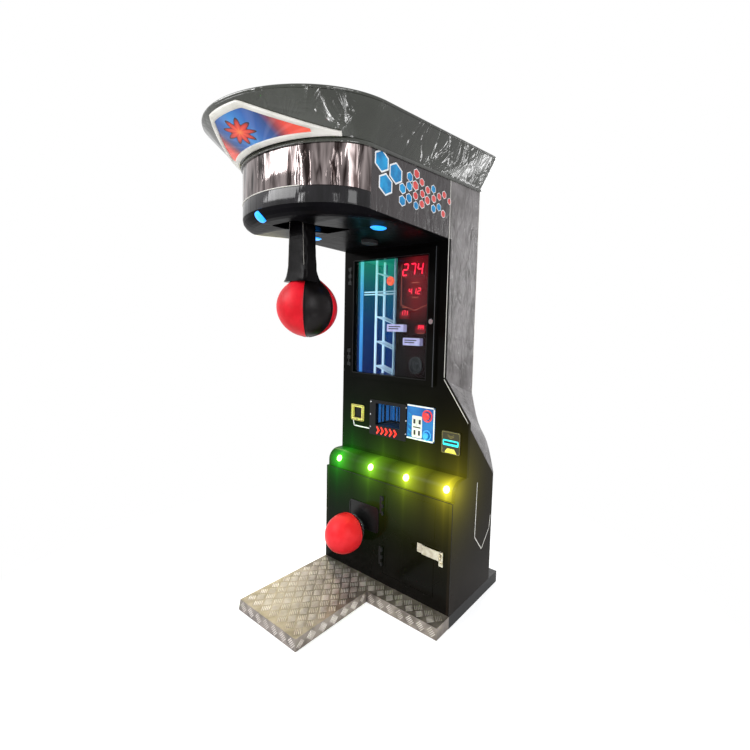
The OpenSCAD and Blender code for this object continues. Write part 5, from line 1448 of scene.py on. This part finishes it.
@dataclass
class LowerCabinet:
    """The lower cabinet's nosing, lamps and trims."""

    nosing_front: float = 160.0
    ledge: float = 655.0
    nosing_r: float = 55.0
    nosing_foot: float = 570.0
    wall: float = 6.0

    def build(self) -> None:
        """Make the nosing, its lamps and the strips on the cabinet's edges."""
        p = PLAN
        yc, zc, r = self.nosing_front + self.nosing_r, self.ledge - self.nosing_r, self.nosing_r
        a = np.radians(np.linspace(180, 90, 40))
        arc = np.stack([yc + r * np.cos(a), zc + r * np.sin(a)], -1)
        inner = r - self.wall
        bend = np.stack([yc + inner * np.cos(a[::-6]), zc + inner * np.sin(a[::-6])], -1)
        y, z, foot = self.nosing_front, self.ledge, self.nosing_foot
        tail = [[p.column, z], [p.column, z - self.wall], [yc, z - self.wall]]
        loop = np.concatenate([[[y, foot]], arc, tail, bend, [[y + self.wall, foot]]])
        x = np.linspace(p.left + 18, p.right - 18, 3)
        rings = np.stack(
            [np.repeat(x[:, None], len(loop), 1), np.tile(loop[:, 0], (3, 1)), np.tile(loop[:, 1], (3, 1))],
            -1
        )
        item = tube("nosing_moulding", rings, NOSING_ABS, sharp=35)
        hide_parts("nosing")
        self.lamp_lenses(yc, zc, r)
        for k, u in enumerate((p.left + 1.2, p.right - 1.2)):
            strip = rounded(u - 1.2, u + 1.2, p.deck + 0.5, foot, 0.8, 2)
            plates(f"corner_strip_{k}", [strip], Plane.FRONT, -p.front - 0.5, -p.front + 0.9, BLACK_ABS)
        strip = rect(p.left + 4, p.right - 4, foot - 2.5, foot)
        plates("front_top_strip", [strip], Plane.FRONT, -p.front - 0.5, -p.front + 0.7, BLACK_ABS)
        vee = bars([[351, 606], [345, 343], [416, 256], [487, 338], [495, 399]], 5.0)
        plates("side_vee_trim", vee, Plane.RIGHT, p.right - 0.6, p.right + 0.2, PALE_TRIM)

    def lamp_lenses(self, yc: float, zc: float, r: float) -> None:
        """Round lenses with a dark ring, square to the nosing 20 degrees above level.

        Args:
            yc: Y of the nosing's axis.
            zc: Z of the nosing's axis.
            r: the nosing's radius.
        """
        t = np.radians(20)
        out = np.array([0, -np.cos(t), np.sin(t)])
        up = np.array([0, np.sin(t), np.cos(t)])
        right = np.array([1.0, 0, 0])
        a = turns(40)
        lens = np.array([[17.0, -3], [17.0, 0.5], [16.2, 3.2], [13.5, 5.6], [9, 7.2], [4, 7.9], [0.6, 8.1]])
        ring = np.array([[17.1, -3], [21.5, -3], [21.5, 0.2], [20.4, 1.8], [18.4, 2.0], [17.1, 0.8]])
        for k, x in enumerate(LAMP_ROW[0] + LAMP_ROW[1] * np.arange(4)):
            foot = np.array([x, yc, zc]) + out * r

            def round_about(shape: Array) -> Array:
                """Turn a profile about the lamp's axis."""
                flat = shape[:, :1, None] * (np.cos(a)[None, :, None] * right + np.sin(a)[None, :, None] * up)
                return foot + flat + shape[:, 1:, None] * out

            item = tube(f"lamp_lens_{k}", round_about(lens), lamp_finish(k / 3), sharp=60)
            if k == 0:
                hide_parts("led_lamps")
            tube(
                f"lamp_ring_{k}", np.swapaxes(round_about(ring), 0, 1), NOSING_ABS, closed=True, flip=True,
                sharp=40
            )
            glow_lamp(f"lamp_glow_{k}", tuple((foot + out * 60) * MM), 0.8, lamp_finish(k / 3).glow, 0.012)


@dataclass
class HexPrint:
    """A generic honeycomb print on the head's right side, in blue and red with pale outlines."""

    size: float = 41.0
    row: float = 1870.0
    pitch: float = 39.0
    rise: float = 41.0

    def hexes(self, centres: Array, sizes: Array) -> Array:
        """Outlines of upright hexagons of the given radii."""
        a = np.radians(np.arange(6) * 60 + 30)
        spokes = np.stack([np.cos(a), np.sin(a)], -1)
        return centres[:, None] + sizes[:, None, None] * spokes[None]

    def build(self) -> None:
        """Scatter the hexagons: three large ones in front and a stream that thins rearwards."""
        rng = np.random.default_rng(24)
        large = np.array([[-188, 1913], [-112, 1895], [-166, 1838.0]])
        i, j = np.meshgrid(np.arange(9), np.arange(-1, 3), indexing="ij")
        u = -70 + i * self.pitch
        v = self.row + (j - 0.5 - 0.5 * (i % 2)) * self.rise
        clear = np.min(np.hypot(u[..., None] - large[:, 0], v[..., None] - large[:, 1]), -1) > 58
        keep = (rng.random(u.shape) < 0.97 - i * 0.03) & clear & (np.abs(v - self.row) < 66 - i * 1.5)
        small = np.stack([u[keep], v[keep]], -1) + rng.uniform(-4, 4, (int(keep.sum()), 2))
        small_size = rng.uniform(17.5, 22.0, len(small)) * (1 - 0.015 * i[keep])
        centres = np.concatenate([large, small])
        sizes = np.concatenate([np.full(3, self.size), small_size])
        red = np.concatenate([[False, False, False], rng.random(len(small)) < 0.45])
        x = PLAN.head
        plates("hex_outlines", self.hexes(centres, sizes), Plane.RIGHT, x - 0.4, x + 0.25, PRINT_WHITE)
        for name, which, finish in (("blue", ~red, PRINT_BLUE), ("red", red, PRINT_RED)):
            fills = self.hexes(centres[which], sizes[which] * 0.84)
            plates(f"hex_fills_{name}", fills, Plane.RIGHT, x - 0.3, x + 0.45, finish)


@dataclass
class Display:
    """Read-outs, card trays and prints behind the window."""

    board: float = -299.0

    def digits(self, name: str, text: str, u0: float, v0: float, wide: float, high: float, w: float) -> None:
        """Seven-segment digits, slanted to the right.

        Args:
            name: the piece's name.
            text: the digits, of 1, 2, 4 and 7.
            u0: left edge.
            v0: lower edge.
            wide: the whole group's width.
            high: the digits' height.
            w: the seen face's coordinate across the front.
        """
        segments = {"1": "bc", "2": "abged", "4": "fgbc", "7": "abc"}
        legs = {
            "a": (0, 2, 1, 2), "b": (1, 1, 1, 2), "c": (1, 0, 1, 1), "d": (0, 0, 1, 0), "e": (0, 0, 0, 1),
            "f": (0, 1, 0, 2), "g": (0, 1, 1, 1)
        }
        cell = wide / len(text)
        dw, dh, t = cell * 0.62, high / 2, high * 0.11
        outlines = []
        for k, digit in enumerate(text):
            for leg in segments[digit]:
                x0, y0, x1, y1 = legs[leg]
                a = np.array([x0 * dw, y0 * dh])
                b = np.array([x1 * dw, y1 * dh])
                d = (b - a) / np.linalg.norm(b - a)
                s = np.array([-d[1], d[0]]) * t / 2
                a, b = a + d * t * 0.6, b - d * t * 0.6
                hexagon = np.array([a - d * t / 2, a - s, b - s, b + d * t / 2, b + s, a + s])
                hexagon[:, 0] += hexagon[:, 1] * 0.14 + u0 + k * cell
                hexagon[:, 1] += v0
                outlines.append(hexagon)
        plates(name, np.array(outlines), Plane.FRONT, w - 0.6, w, DIGIT_RED)

    def build(self) -> None:
        """Make the digits, the shield's line, the captions, the trays and the disc."""
        b = self.board
        front, small = b + 12.5, b + 8.5
        readouts = (
            ("large", "274", 8, 1588, 140, 54, front),
            ("mid", "412", 50, 1494, 82, 28, front),
            ("small_left", "171", 0, 1389, 46, 24, small),
            ("small_right", "144", 104, 1319, 46, 24, small),
        )
        for name, *rest in readouts:
            self.digits("digits_" + name, *rest)
        shield = bars([[-5, 1644], [-5, 1443], [82, 1414], [168, 1443], [168, 1644]], 2.4)
        plates("shield_line", shield, Plane.FRONT, b + 3.9, b + 4.6, LINE_RED)
        marks = np.stack(
            [
                rect(60, 112, 1549, 1553), rect(66, 106, 1476, 1480), rect(4, 42, 1428, 1431),
                rect(106, 146, 1300, 1303)
            ]
        )
        plates("readout_captions", marks, Plane.FRONT, b + 3.9, b + 4.6, LINE_RED)
        for k, (u0, u1, v0, v1) in enumerate([(-78, 34, 1306, 1343), (32, 140, 1240, 1277)]):
            plates(f"card_tray_{k}", [rounded(u0, u1, v0, v1, 4, 3)], Plane.FRONT, b + 0.1, b + 26, LAVENDER)
            lines = np.stack(
                [rect(u0 + 12, u1 - 20, v1 - 14, v1 - 9), rect(u0 + 12, u1 - 34, v1 - 25, v1 - 20)]
            )
            plates(f"card_lines_{k}", lines, Plane.FRONT, b + 25.8, b + 26.4, PRINT_BLACK)
        plates("prize_disc", [disc(-82, 1566, 23, 40)], Plane.FRONT, b - 1, b + 7, DISC_ORANGE)
        plates(
            "disc_lines", np.stack([rect(-96, -68, 1568, 1572), rect(-94, -70, 1560, 1563)]), Plane.FRONT,
            b + 6.8, b + 7.5, LINE_RED
        )


@dataclass
class Controls:
    """Prints, screws, coin and note fittings on the column's front."""

    face: float = -251.0
    sunk: float = 0.4
    chute_back: float = -364.0
    chute_side: float = -121.0
    chute_span: tuple[float, float] = (822.0, 928.0)

    def screw_heads(
        self, name: str, spots: list[tuple[float, float]], r: float, low: float, finish: Finish
    ) -> None:
        """Domed screw heads, each a shallow cap turned about its axis."""
        profile = np.array([[r, 0.0], [r, 0.6], [r * 0.8, 1.4], [r * 0.4, 1.8], [0.05, 1.9]])
        for k, (u, v) in enumerate(spots):
            tube(f"{name}_{k}", turned(profile, (u, -low, v), "-y", 20), finish, sharp=60)

    def decal(self, name: str, outlines: Array, level: float, proud: float, finish: Finish) -> None:
        """A print or a plate that stands proud of the face at a level and starts a little under it."""
        plates(name, outlines, Plane.FRONT, level - self.sunk, level + proud, finish)

    def build(self) -> None:
        """Make the button plate's border, the fittings' prints and the lit strips.

        Their places are millimetres across and up the front, read off the photograph.
        """
        f = self.face
        plate = f + 3
        l, r, lo, hi = 95, 264, 782, 952
        border = bars([[l + 3, hi - 4], [r - 4, hi - 4], [r - 4, lo + 4], [l + 3, lo + 4]], 7.0)
        self.decal("button_plate_border", border, plate, 0.35, PRINT_WHITE)
        ray = np.array([[l + 8, lo + 20], [l + 30, lo + 8], [l + 33, lo + 13], [l + 8, lo + 27]])
        rays = np.stack([ray + np.array([0, 26 * k]) for k in range(5)])
        self.decal("button_plate_rays", rays, plate, 0.3, PRINT_BLUE)
        coin = plate + 3
        marks = np.stack(
            [
                rect(137, 150, 862, 884), rect(170, 183, 862, 884), rect(137, 183, 842, 848),
                rect(140, 152, 806, 830), rect(168, 180, 806, 830)
            ]
        )
        self.decal("coin_entry_marks", marks, coin, 0.3, PRINT_BLACK)
        for k, (z, rr, lens) in enumerate([(908, 30, BUTTON_RED), (814, 26, BUTTON_BLUE)]):
            ring = np.array(
                [
                    [rr - 7, -0.3], [rr - 1.5, -0.3], [rr, 0.4], [rr, 2.2], [rr - 1.5, 3.4], [rr - 5, 3.4],
                    [rr - 7, 2.2]
                ]
            )
            tube(
                f"button_bezel_{k}", np.swapaxes(turned(ring, (220, 248, z), "-y", 48), 0, 1), lens,
                closed=True, sharp=40
            )
        self.screw_heads(
            "frame_screw", [(-158, 933), (-158, 866), (-158, 799), (87, 931), (87, 865), (87, 798)], 4.2,
            plate, STEEL
        )
        cup = f + 6
        line = bars([[-290, 812], [-284, 787], [-170, 787]], 6.0)
        self.decal("coin_return_line", line, f, 0.35, PRINT_WHITE)
        ring = outline_bars(-299, -213, 822, 900, 2.2)
        self.decal("coin_return_outline", ring, cup, 0.3, PRINT_BLACK)
        tip = np.array([[[-262, 827], [-250, 827], [-256, 821]]])
        self.decal("coin_return_arrow", tip[:, ::-1], cup, 0.3, PRINT_BLACK)
        back, side, (z0, z1) = self.chute_back, self.chute_side, self.chute_span
        strips = [(-119, 10), (-101, 16), (-76, 8), (-52, 16), (-24, 8), (2, 14), (30, 7)]
        for k, (u, wide) in enumerate(strips):
            outline = rounded(u - wide / 2, u + wide / 2, z0, z1, 3, 3)
            plates(f"chute_strip_{k}", [outline], Plane.FRONT, back - 3.6, back, CHUTE_BLUE)
        for k, (y0, y1) in enumerate([(272, 290), (300, 312), (330, 352)]):
            outline = rounded(y0, y1, z0, z1, 3, 3)
            plates(f"chute_side_strip_{k}", [outline], Plane.RIGHT, side - 1.5, side, CHUTE_BLUE)
        arrows = np.concatenate(
            [bars([[-108 + 30 * k, 803], [-96 + 30 * k, 788], [-108 + 30 * k, 773]], 9.0) for k in range(5)]
        )
        plates("lit_chevrons", arrows, Plane.FRONT, plate - 0.5, plate + 0.8, LIT_RED)
        note = f + 8
        self.decal("note_slot_light", [rounded(318, 405, 790, 817, 5, 4)], note, 0.5, LIT_CYAN)
        # Painted shade: a flat black plate stands for the dark inside of the note slot
        plates(
            "note_slot_painted_shade", [rect(324, 399, 800.2, 809.8)], Plane.FRONT, note + 0.3, note + 0.8,
            PRINT_BLACK
        )
        tray = np.array([[[330, 757], [396, 757], [382, 778], [344, 778]]])
        self.decal("note_tray", tray, note, 2.5, PRINT_YELLOW)
        frame_line = outline_bars(314, 410, 755, 853, 2.4)
        self.decal("note_outline", frame_line, note, 0.4, PRINT_OLIVE)
        chevrons = np.concatenate(
            [bars([[345, 842 - k * 7], [361.5, 832 - k * 7], [378, 842 - k * 7]], 2.4) for k in range(2)]
        )
        self.decal("note_chevrons", chevrons, note, 0.4, PRINT_OLIVE)


@dataclass
class Column:
    """Edge strips and trims of the column and head."""

    door: float = -237.0

    def build(self) -> None:
        """Make the pale strips along the boards' edges, a painted highlight along the shoulder's crease and
        the window's gasket.
        """
        p = PLAN
        plates("head_seam", [rect(250, 253, 1100, 1990)], Plane.RIGHT, p.head - 0.5, p.head + 0.5, PALE_TRIM)
        plates(
            "column_rear_strip", [rect(504.5, 507.5, 1010, 2010)], Plane.RIGHT, p.head - 0.5, p.head + 0.7,
            PALE_TRIM
        )
        # Painted highlight: a pale strip along the shoulder's crease stands in for the glare along it
        crease = bars([[308, 1094], [446, 910]], 3.0) - np.array([0.0, 2.4])
        plates("shoulder_crease_painted_highlight", crease, Plane.FRONT, -p.column - 0.5, -p.column + 0.7, PALE_TRIM)
        plates(
            "window_side_trim", [rect(248, 251, 1052, 1702)], Plane.FRONT, self.door - 0.5, self.door + 0.5,
            GREY_ENAMEL
        )
        ring = outline_bars(-292, 208, 1081, 1672, 3.0)
        plates("window_gasket", ring, Plane.FRONT, self.door - 0.5, self.door + 0.7, BLACK_ABS)


# Finishes of the CAD nodes that stay in view

KEPT: dict[str, Finish] = {
    "base_frame": BLACK_COAT, "tread_plate": TREAD_ALU, "lower_side_left": DARK_FILM,
    "lower_side_right": DARK_FILM, "lower_front": BLACK_LAMINATE, "lower_back": BLACK_COAT,
    "kick_plunger": STEEL, "kick_guide": GREY_ENAMEL, "cover_plate": BLACK_ABS,
    "service_door": BLACK_LAMINATE, "hasp_leaf": ZINC,
    "hasp_strap": ZINC, "hasp_staple": ZINC, "cash_box": GREY_ENAMEL, "shoulder_panel": GREY_FILM,
    "fascia": BLACK_LAMINATE, "side_left": DARK_FILM, "side_right": GREY_FILM, "back_panel": BLACK_COAT,
    "rear_door": BLACK_COAT, "rear_lock": STEEL, "hinges": BLACK_COAT, "window_door": BLACK_LAMINATE,
    "window_glass": GLASS, "window_lock": STEEL, "window_liner": CASE_BLUE, "display_board": SCREEN_BLACK,
    "digit_modules": DIGIT_WELL, "speaker": SPEAKER, "prize_rack": RACK_LIT, "light_tubes": TUBE_BLUE,
    "button_plate": PLATE_BLUE, "prize_frame": BLACK_ABS, "prize_flap": GLASS, "coin_entry": WHITE_ABS,
    "coin_mech": GREY_ENAMEL, "red_button": BUTTON_RED, "blue_button": BUTTON_BLUE, "return_cup": CUP_YELLOW,
    "return_flap": BLACK_ABS, "note_entry": NOTE_OLIVE, "head_floor": PAN_ABS, "downlights": SPOT_BLUE,
    "pivot_frame": GREY_ENAMEL, "pivot_shaft": STEEL, "swing_arm": GREY_ENAMEL, "stop_pad": RUBBER,
    "latch_hook": STEEL, "latch_solenoid": BRASS, "solenoid_plunger": STEEL,
}


def side_film() -> bpy.types.Material:
    """The right side's film: dark on the head in front of the seam, and grey and wrinkled behind it."""
    item, bsdf = finished("two_tone_vinyl_film", GREY_FILM)
    tree = item.node_tree
    place = add(tree, "TexCoord").outputs["Object"]
    y = add(tree, "SeparateXYZ", Vector=place).outputs[1]
    mask = add(tree, "Math", {"operation": "LESS_THAN", 1: SEAM}, in0=y)
    grey = bsdf.inputs["Base Color"].links[0].from_socket
    both = add(tree, "Mix", {"data_type": "RGBA", 7: linear("#2b2426")}, in0=mask, in6=grey)
    tree.links.new(both.outputs[2], bsdf.inputs["Base Color"])
    return item


def painted_case_light(finish: Finish, along: Stops, upright: Stops) -> bpy.types.Material:
    """A surface in the window's case with the case's light painted on it as emission.

    The painted light is the product of two ramps: one over X from the case's left wall to its right one, and
    one over Z from its floor to its top. The outside of its back stays dark.

    Args:
        finish: the surface's finish.
        along: the ramp over X.
        upright: the ramp over Z.

    Returns:
        The material.
    """
    item, bsdf = finished(finish.name + "_lit", finish)
    tree = item.node_tree
    split = add(tree, "SeparateXYZ", Vector=add(tree, "TexCoord").outputs["Object"])
    u = add(tree, "MapRange", {"From Min": CASE_X[0], "From Max": CASE_X[1]}, Value=split.outputs[0])
    v = add(tree, "MapRange", {"From Min": CASE_Z[0], "From Max": CASE_Z[1]}, Value=split.outputs[2])
    both = add(
        tree, "Mix", {"data_type": "RGBA", "blend_type": "MULTIPLY", "Factor": 1.0},
        in6=ramp(tree, u.outputs[0], along), in7=ramp(tree, v.outputs[0], upright)
    )
    inner = add(tree, "Math", {"operation": "LESS_THAN", 1: CASE_BACK}, in0=split.outputs[1])
    tree.links.new(both.outputs[2], bsdf.inputs["Emission Color"])
    tree.links.new(inner.outputs[0], bsdf.inputs["Emission Strength"])
    return item


def painted_light_nodes() -> dict[str, bpy.types.Material]:
    """The CAD nodes in the window's case with their light painted on as emission: blue and teal left, red
    right.
    """
    blue = [(0.0, "#12307c"), (0.4, "#0a4a94"), (0.72, "#0c7690"), (1.0, "#18bc94")]
    return {
        "window_liner": painted_case_light(
            CASE_BLUE,
            [
                (0.0, "#a0a0a0"), (0.1, "#c8c8c8"), (0.3, "#909090"), (0.47, "#b8b8b8"), (0.62, "#404040"),
                (1.0, "#0c0c0c")
            ], blue
        ),
        "light_tubes": painted_case_light(
            TUBE_BLUE, [(0.0, "#f0f0f0"), (0.08, "#f0f0f0"), (0.1, "#202020")],
            [(0.0, "#2a66b4"), (0.7, "#3f93c8"), (1.0, "#58d0c0")]
        ),
        "prize_rack": painted_case_light(
            RACK_LIT, [(0.2, "#e0e0e0"), (0.25, "#b0b0b0"), (0.44, "#505050"), (0.5, "#303030")],
            [(0.0, "#d8ecff"), (0.6, "#c8ecff"), (1.0, "#7fe8d0")]
        ),
        "display_board": painted_case_light(
            SCREEN_BLACK,
            [(0.48, "#160c14"), (0.6, "#5a161e"), (0.75, "#c02a34"), (0.94, "#84202a"), (1.0, "#3a1016")],
            [(0.0, "#0a0a0a"), (0.45, "#303038"), (0.6, "#909090"), (0.9, "#b4b4b4"), (1.0, "#909090")]
        ),
    }


def dress_nodes() -> None:
    """Give each CAD node that stays in view its finish."""
    lit = painted_light_nodes()
    for name, finish in KEPT.items():
        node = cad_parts.get(name)
        if node is None:
            LOG.info("no node %s", name)
            continue
        item = side_film() if name == "side_right" else lit.get(name) or material(finish)
        for slot in node.material_slots:
            slot.material = item


# Lights, camera and stage


def lamp(name: str, kind: str, place: Point, watts: float, code: str) -> Item:
    """A lamp of a kind, a power and a colour at a place."""
    data = bpy.data.lights.new(name, kind)
    data.energy = watts
    data.color = linear(code)[:3]
    item = linked(name, data)
    item.location = place
    return item


def glow_lamp(name: str, place: Point, watts: float, code: str, size: float) -> None:
    """A small round lamp of one colour."""
    item = lamp(name, "POINT", place, watts, code)
    item.data.shadow_soft_size = size
    item.visible_glossy = False


def soft_box(
    name: str, place: Point, aim: Point, size: tuple[float, float], watts: float, code: str = "#ffffff"
) -> None:
    """A rectangular studio lamp that faces a point."""
    item = lamp(name, "AREA", place, watts, code)
    item.data.shape = "RECTANGLE"
    item.data.size, item.data.size_y = size
    item.visible_camera = False
    item.rotation_euler = (Vector(aim) - Vector(place)).to_track_quat("-Z", "Y").to_euler()


@dataclass
class Studio:
    """White surroundings, a pale floor, soft boxes and the photograph's camera."""

    eye: Point = (1.37796, -1.29263, 1.29833)
    turn: float = 34.5
    dip: float = 4.38
    roll: float = 2.01
    lens: float = 19.586
    shift: tuple[float, float] = (-0.0951, -0.0117)

    def camera(self) -> None:
        """Place the camera of the photograph: eye, heading, dip, roll, lens and shift."""
        az, el, ro = radians(self.turn), radians(self.dip), radians(self.roll)
        back = np.array([np.sin(az) * np.cos(el), -np.cos(az) * np.cos(el), np.sin(el)])
        right = np.array([np.cos(az), np.sin(az), 0.0])
        up = np.cross(back, right)
        right, up = np.cos(ro) * right + np.sin(ro) * up, -np.sin(ro) * right + np.cos(ro) * up
        data = bpy.data.cameras.new("camera")
        data.sensor_width = 36.0
        data.sensor_fit = "HORIZONTAL"
        data.lens = self.lens
        data.shift_x, data.shift_y = self.shift
        data.clip_end = 200.0
        item = linked("camera", data)
        turn = Matrix((right, up, back)).transposed().to_4x4()
        turn.translation = Vector(self.eye)
        item.matrix_world = turn
        bpy.context.scene.camera = item

    @staticmethod
    def shown(tree: Tree) -> Socket:
        """1 for rays of the camera, of a mirror and through glass, else 0."""
        path = add(tree, "LightPath")
        seen = add(
            tree, "Math", {"operation": "MAXIMUM"}, in0=path.outputs["Is Camera Ray"],
            in1=path.outputs["Is Transmission Ray"]
        )
        return add(
            tree, "Math", {"operation": "MAXIMUM"}, in0=seen, in1=path.outputs["Is Glossy Ray"]
        ).outputs[0]

    def world(self) -> None:
        """White to the camera and in mirrors and glass, softer as a light."""
        world = bpy.data.worlds.new("studio")
        bpy.context.scene.world = world
        world.use_nodes = True
        tree = world.node_tree
        tree.nodes.clear()
        soft = add(tree, "Background", {"Color": (0.9, 0.93, 1.0, 1.0), "Strength": 0.35})
        white = add(tree, "Background", {"Color": (1.0, 1.0, 1.0, 1.0), "Strength": 1.0})
        mix = add(tree, "MixShader", in0=self.shown(tree), in1=soft, in2=white)
        out = add(tree, "OutputWorld")
        tree.links.new(mix.outputs[0], out.inputs["Surface"])

    def floor(self) -> None:
        """A wide pale floor that fades to white and keeps the machine's shadow."""
        mesh = bpy.data.meshes.new("studio_floor")
        mesh.from_pydata([(-60, -60, 0), (60, -60, 0), (60, 60, 0), (-60, 60, 0)], [], [(0, 1, 2, 3)])
        item = linked("studio_floor", mesh)
        mat = blank("pale_floor")
        tree = mat.node_tree
        dull = add(tree, "BsdfDiffuse", {"Color": (0.82, 0.82, 0.82, 1.0)})
        lit = add(tree, "Emission", {"Color": (1.0, 1.0, 1.0, 1.0), "Strength": 0.62})
        white = add(tree, "Emission", {"Color": (1.0, 1.0, 1.0, 1.0), "Strength": 1.0})
        both = add(tree, "AddShader", in0=dull, in1=lit)
        place = add(tree, "TexCoord").outputs["Object"]
        reach = add(tree, "VectorMath", {"operation": "LENGTH"}, in0=place)
        far = add(tree, "MapRange", {"From Min": 0.9, "From Max": 1.8}, Value=reach.outputs["Value"])
        fade = add(tree, "MixShader", in0=far, in1=both, in2=white)
        mix = add(tree, "MixShader", in0=self.shown(tree), in1=dull, in2=fade)
        out = add(tree, "OutputMaterial")
        tree.links.new(mix.outputs[0], out.inputs["Surface"])
        mesh.materials.append(mat)

    def build(self) -> None:
        """Set up the view, the surroundings and the lamps."""
        bpy.context.scene.view_settings.view_transform = "Standard"
        self.camera()
        self.world()
        self.floor()
        boxes = (
            ("key_box", (-2.2, -3.2, 3.4), (0, -0.1, 1.2), (2.4, 2.0), 120),
            ("fill_box", (3.6, -1.6, 2.6), (0.1, 0.1, 1.2), (1.6, 2.2), 70),
            ("streak_box_left", (-0.6, -3.4, 1.9), (0, 0, 1.7), (0.16, 1.8), 16),
            ("streak_box_right", (1.9, -3.0, 1.9), (0, 0, 1.7), (0.22, 1.8), 9),
            ("streak_box_low", (0.9, -0.9, 0.12), (0.25, -0.45, 2.0), (0.05, 0.5), 2.0),
            ("streak_box_mid", (1.5, -0.5, 0.4), (0.31, -0.36, 2.0), (0.05, 0.6), 2.0),
            ("streak_box_side", (2.6, 1.7, 1.6), (0.3, 0.2, 1.9), (0.05, 1.0), 0.9),
            ("streak_box_rear", (1.7, 2.7, 1.8), (0.3, 0.4, 1.5), (0.1, 1.5), 5),
            ("warm_box", (-3.3, 1.65, 2.6), (-0.2, -0.3, 0.06), (0.4, 1.9), 24, "#fdf6b8"),
            ("back_box", (-1.2, 3.4, 2.6), (0, 0.3, 1.2), (2.2, 1.8), 70),
        )
        for box in boxes:
            soft_box(*box)


def main() -> None:
    """Build the studio and every sub-assembly in order."""
    logging.basicConfig(level=logging.INFO, format="%(message)s")
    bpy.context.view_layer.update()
    Studio().build()
    dress_nodes()
    for part in (
        Hood(), Marquee(), NoseBand(), Ball(), KickPad(), Tread(), LowerCabinet(), HexPrint(), Display(),
        Controls(), Column()
    ):
        part.build()
        LOG.info("built %s", type(part).__name__)


if __name__ == "__main__":
    main()
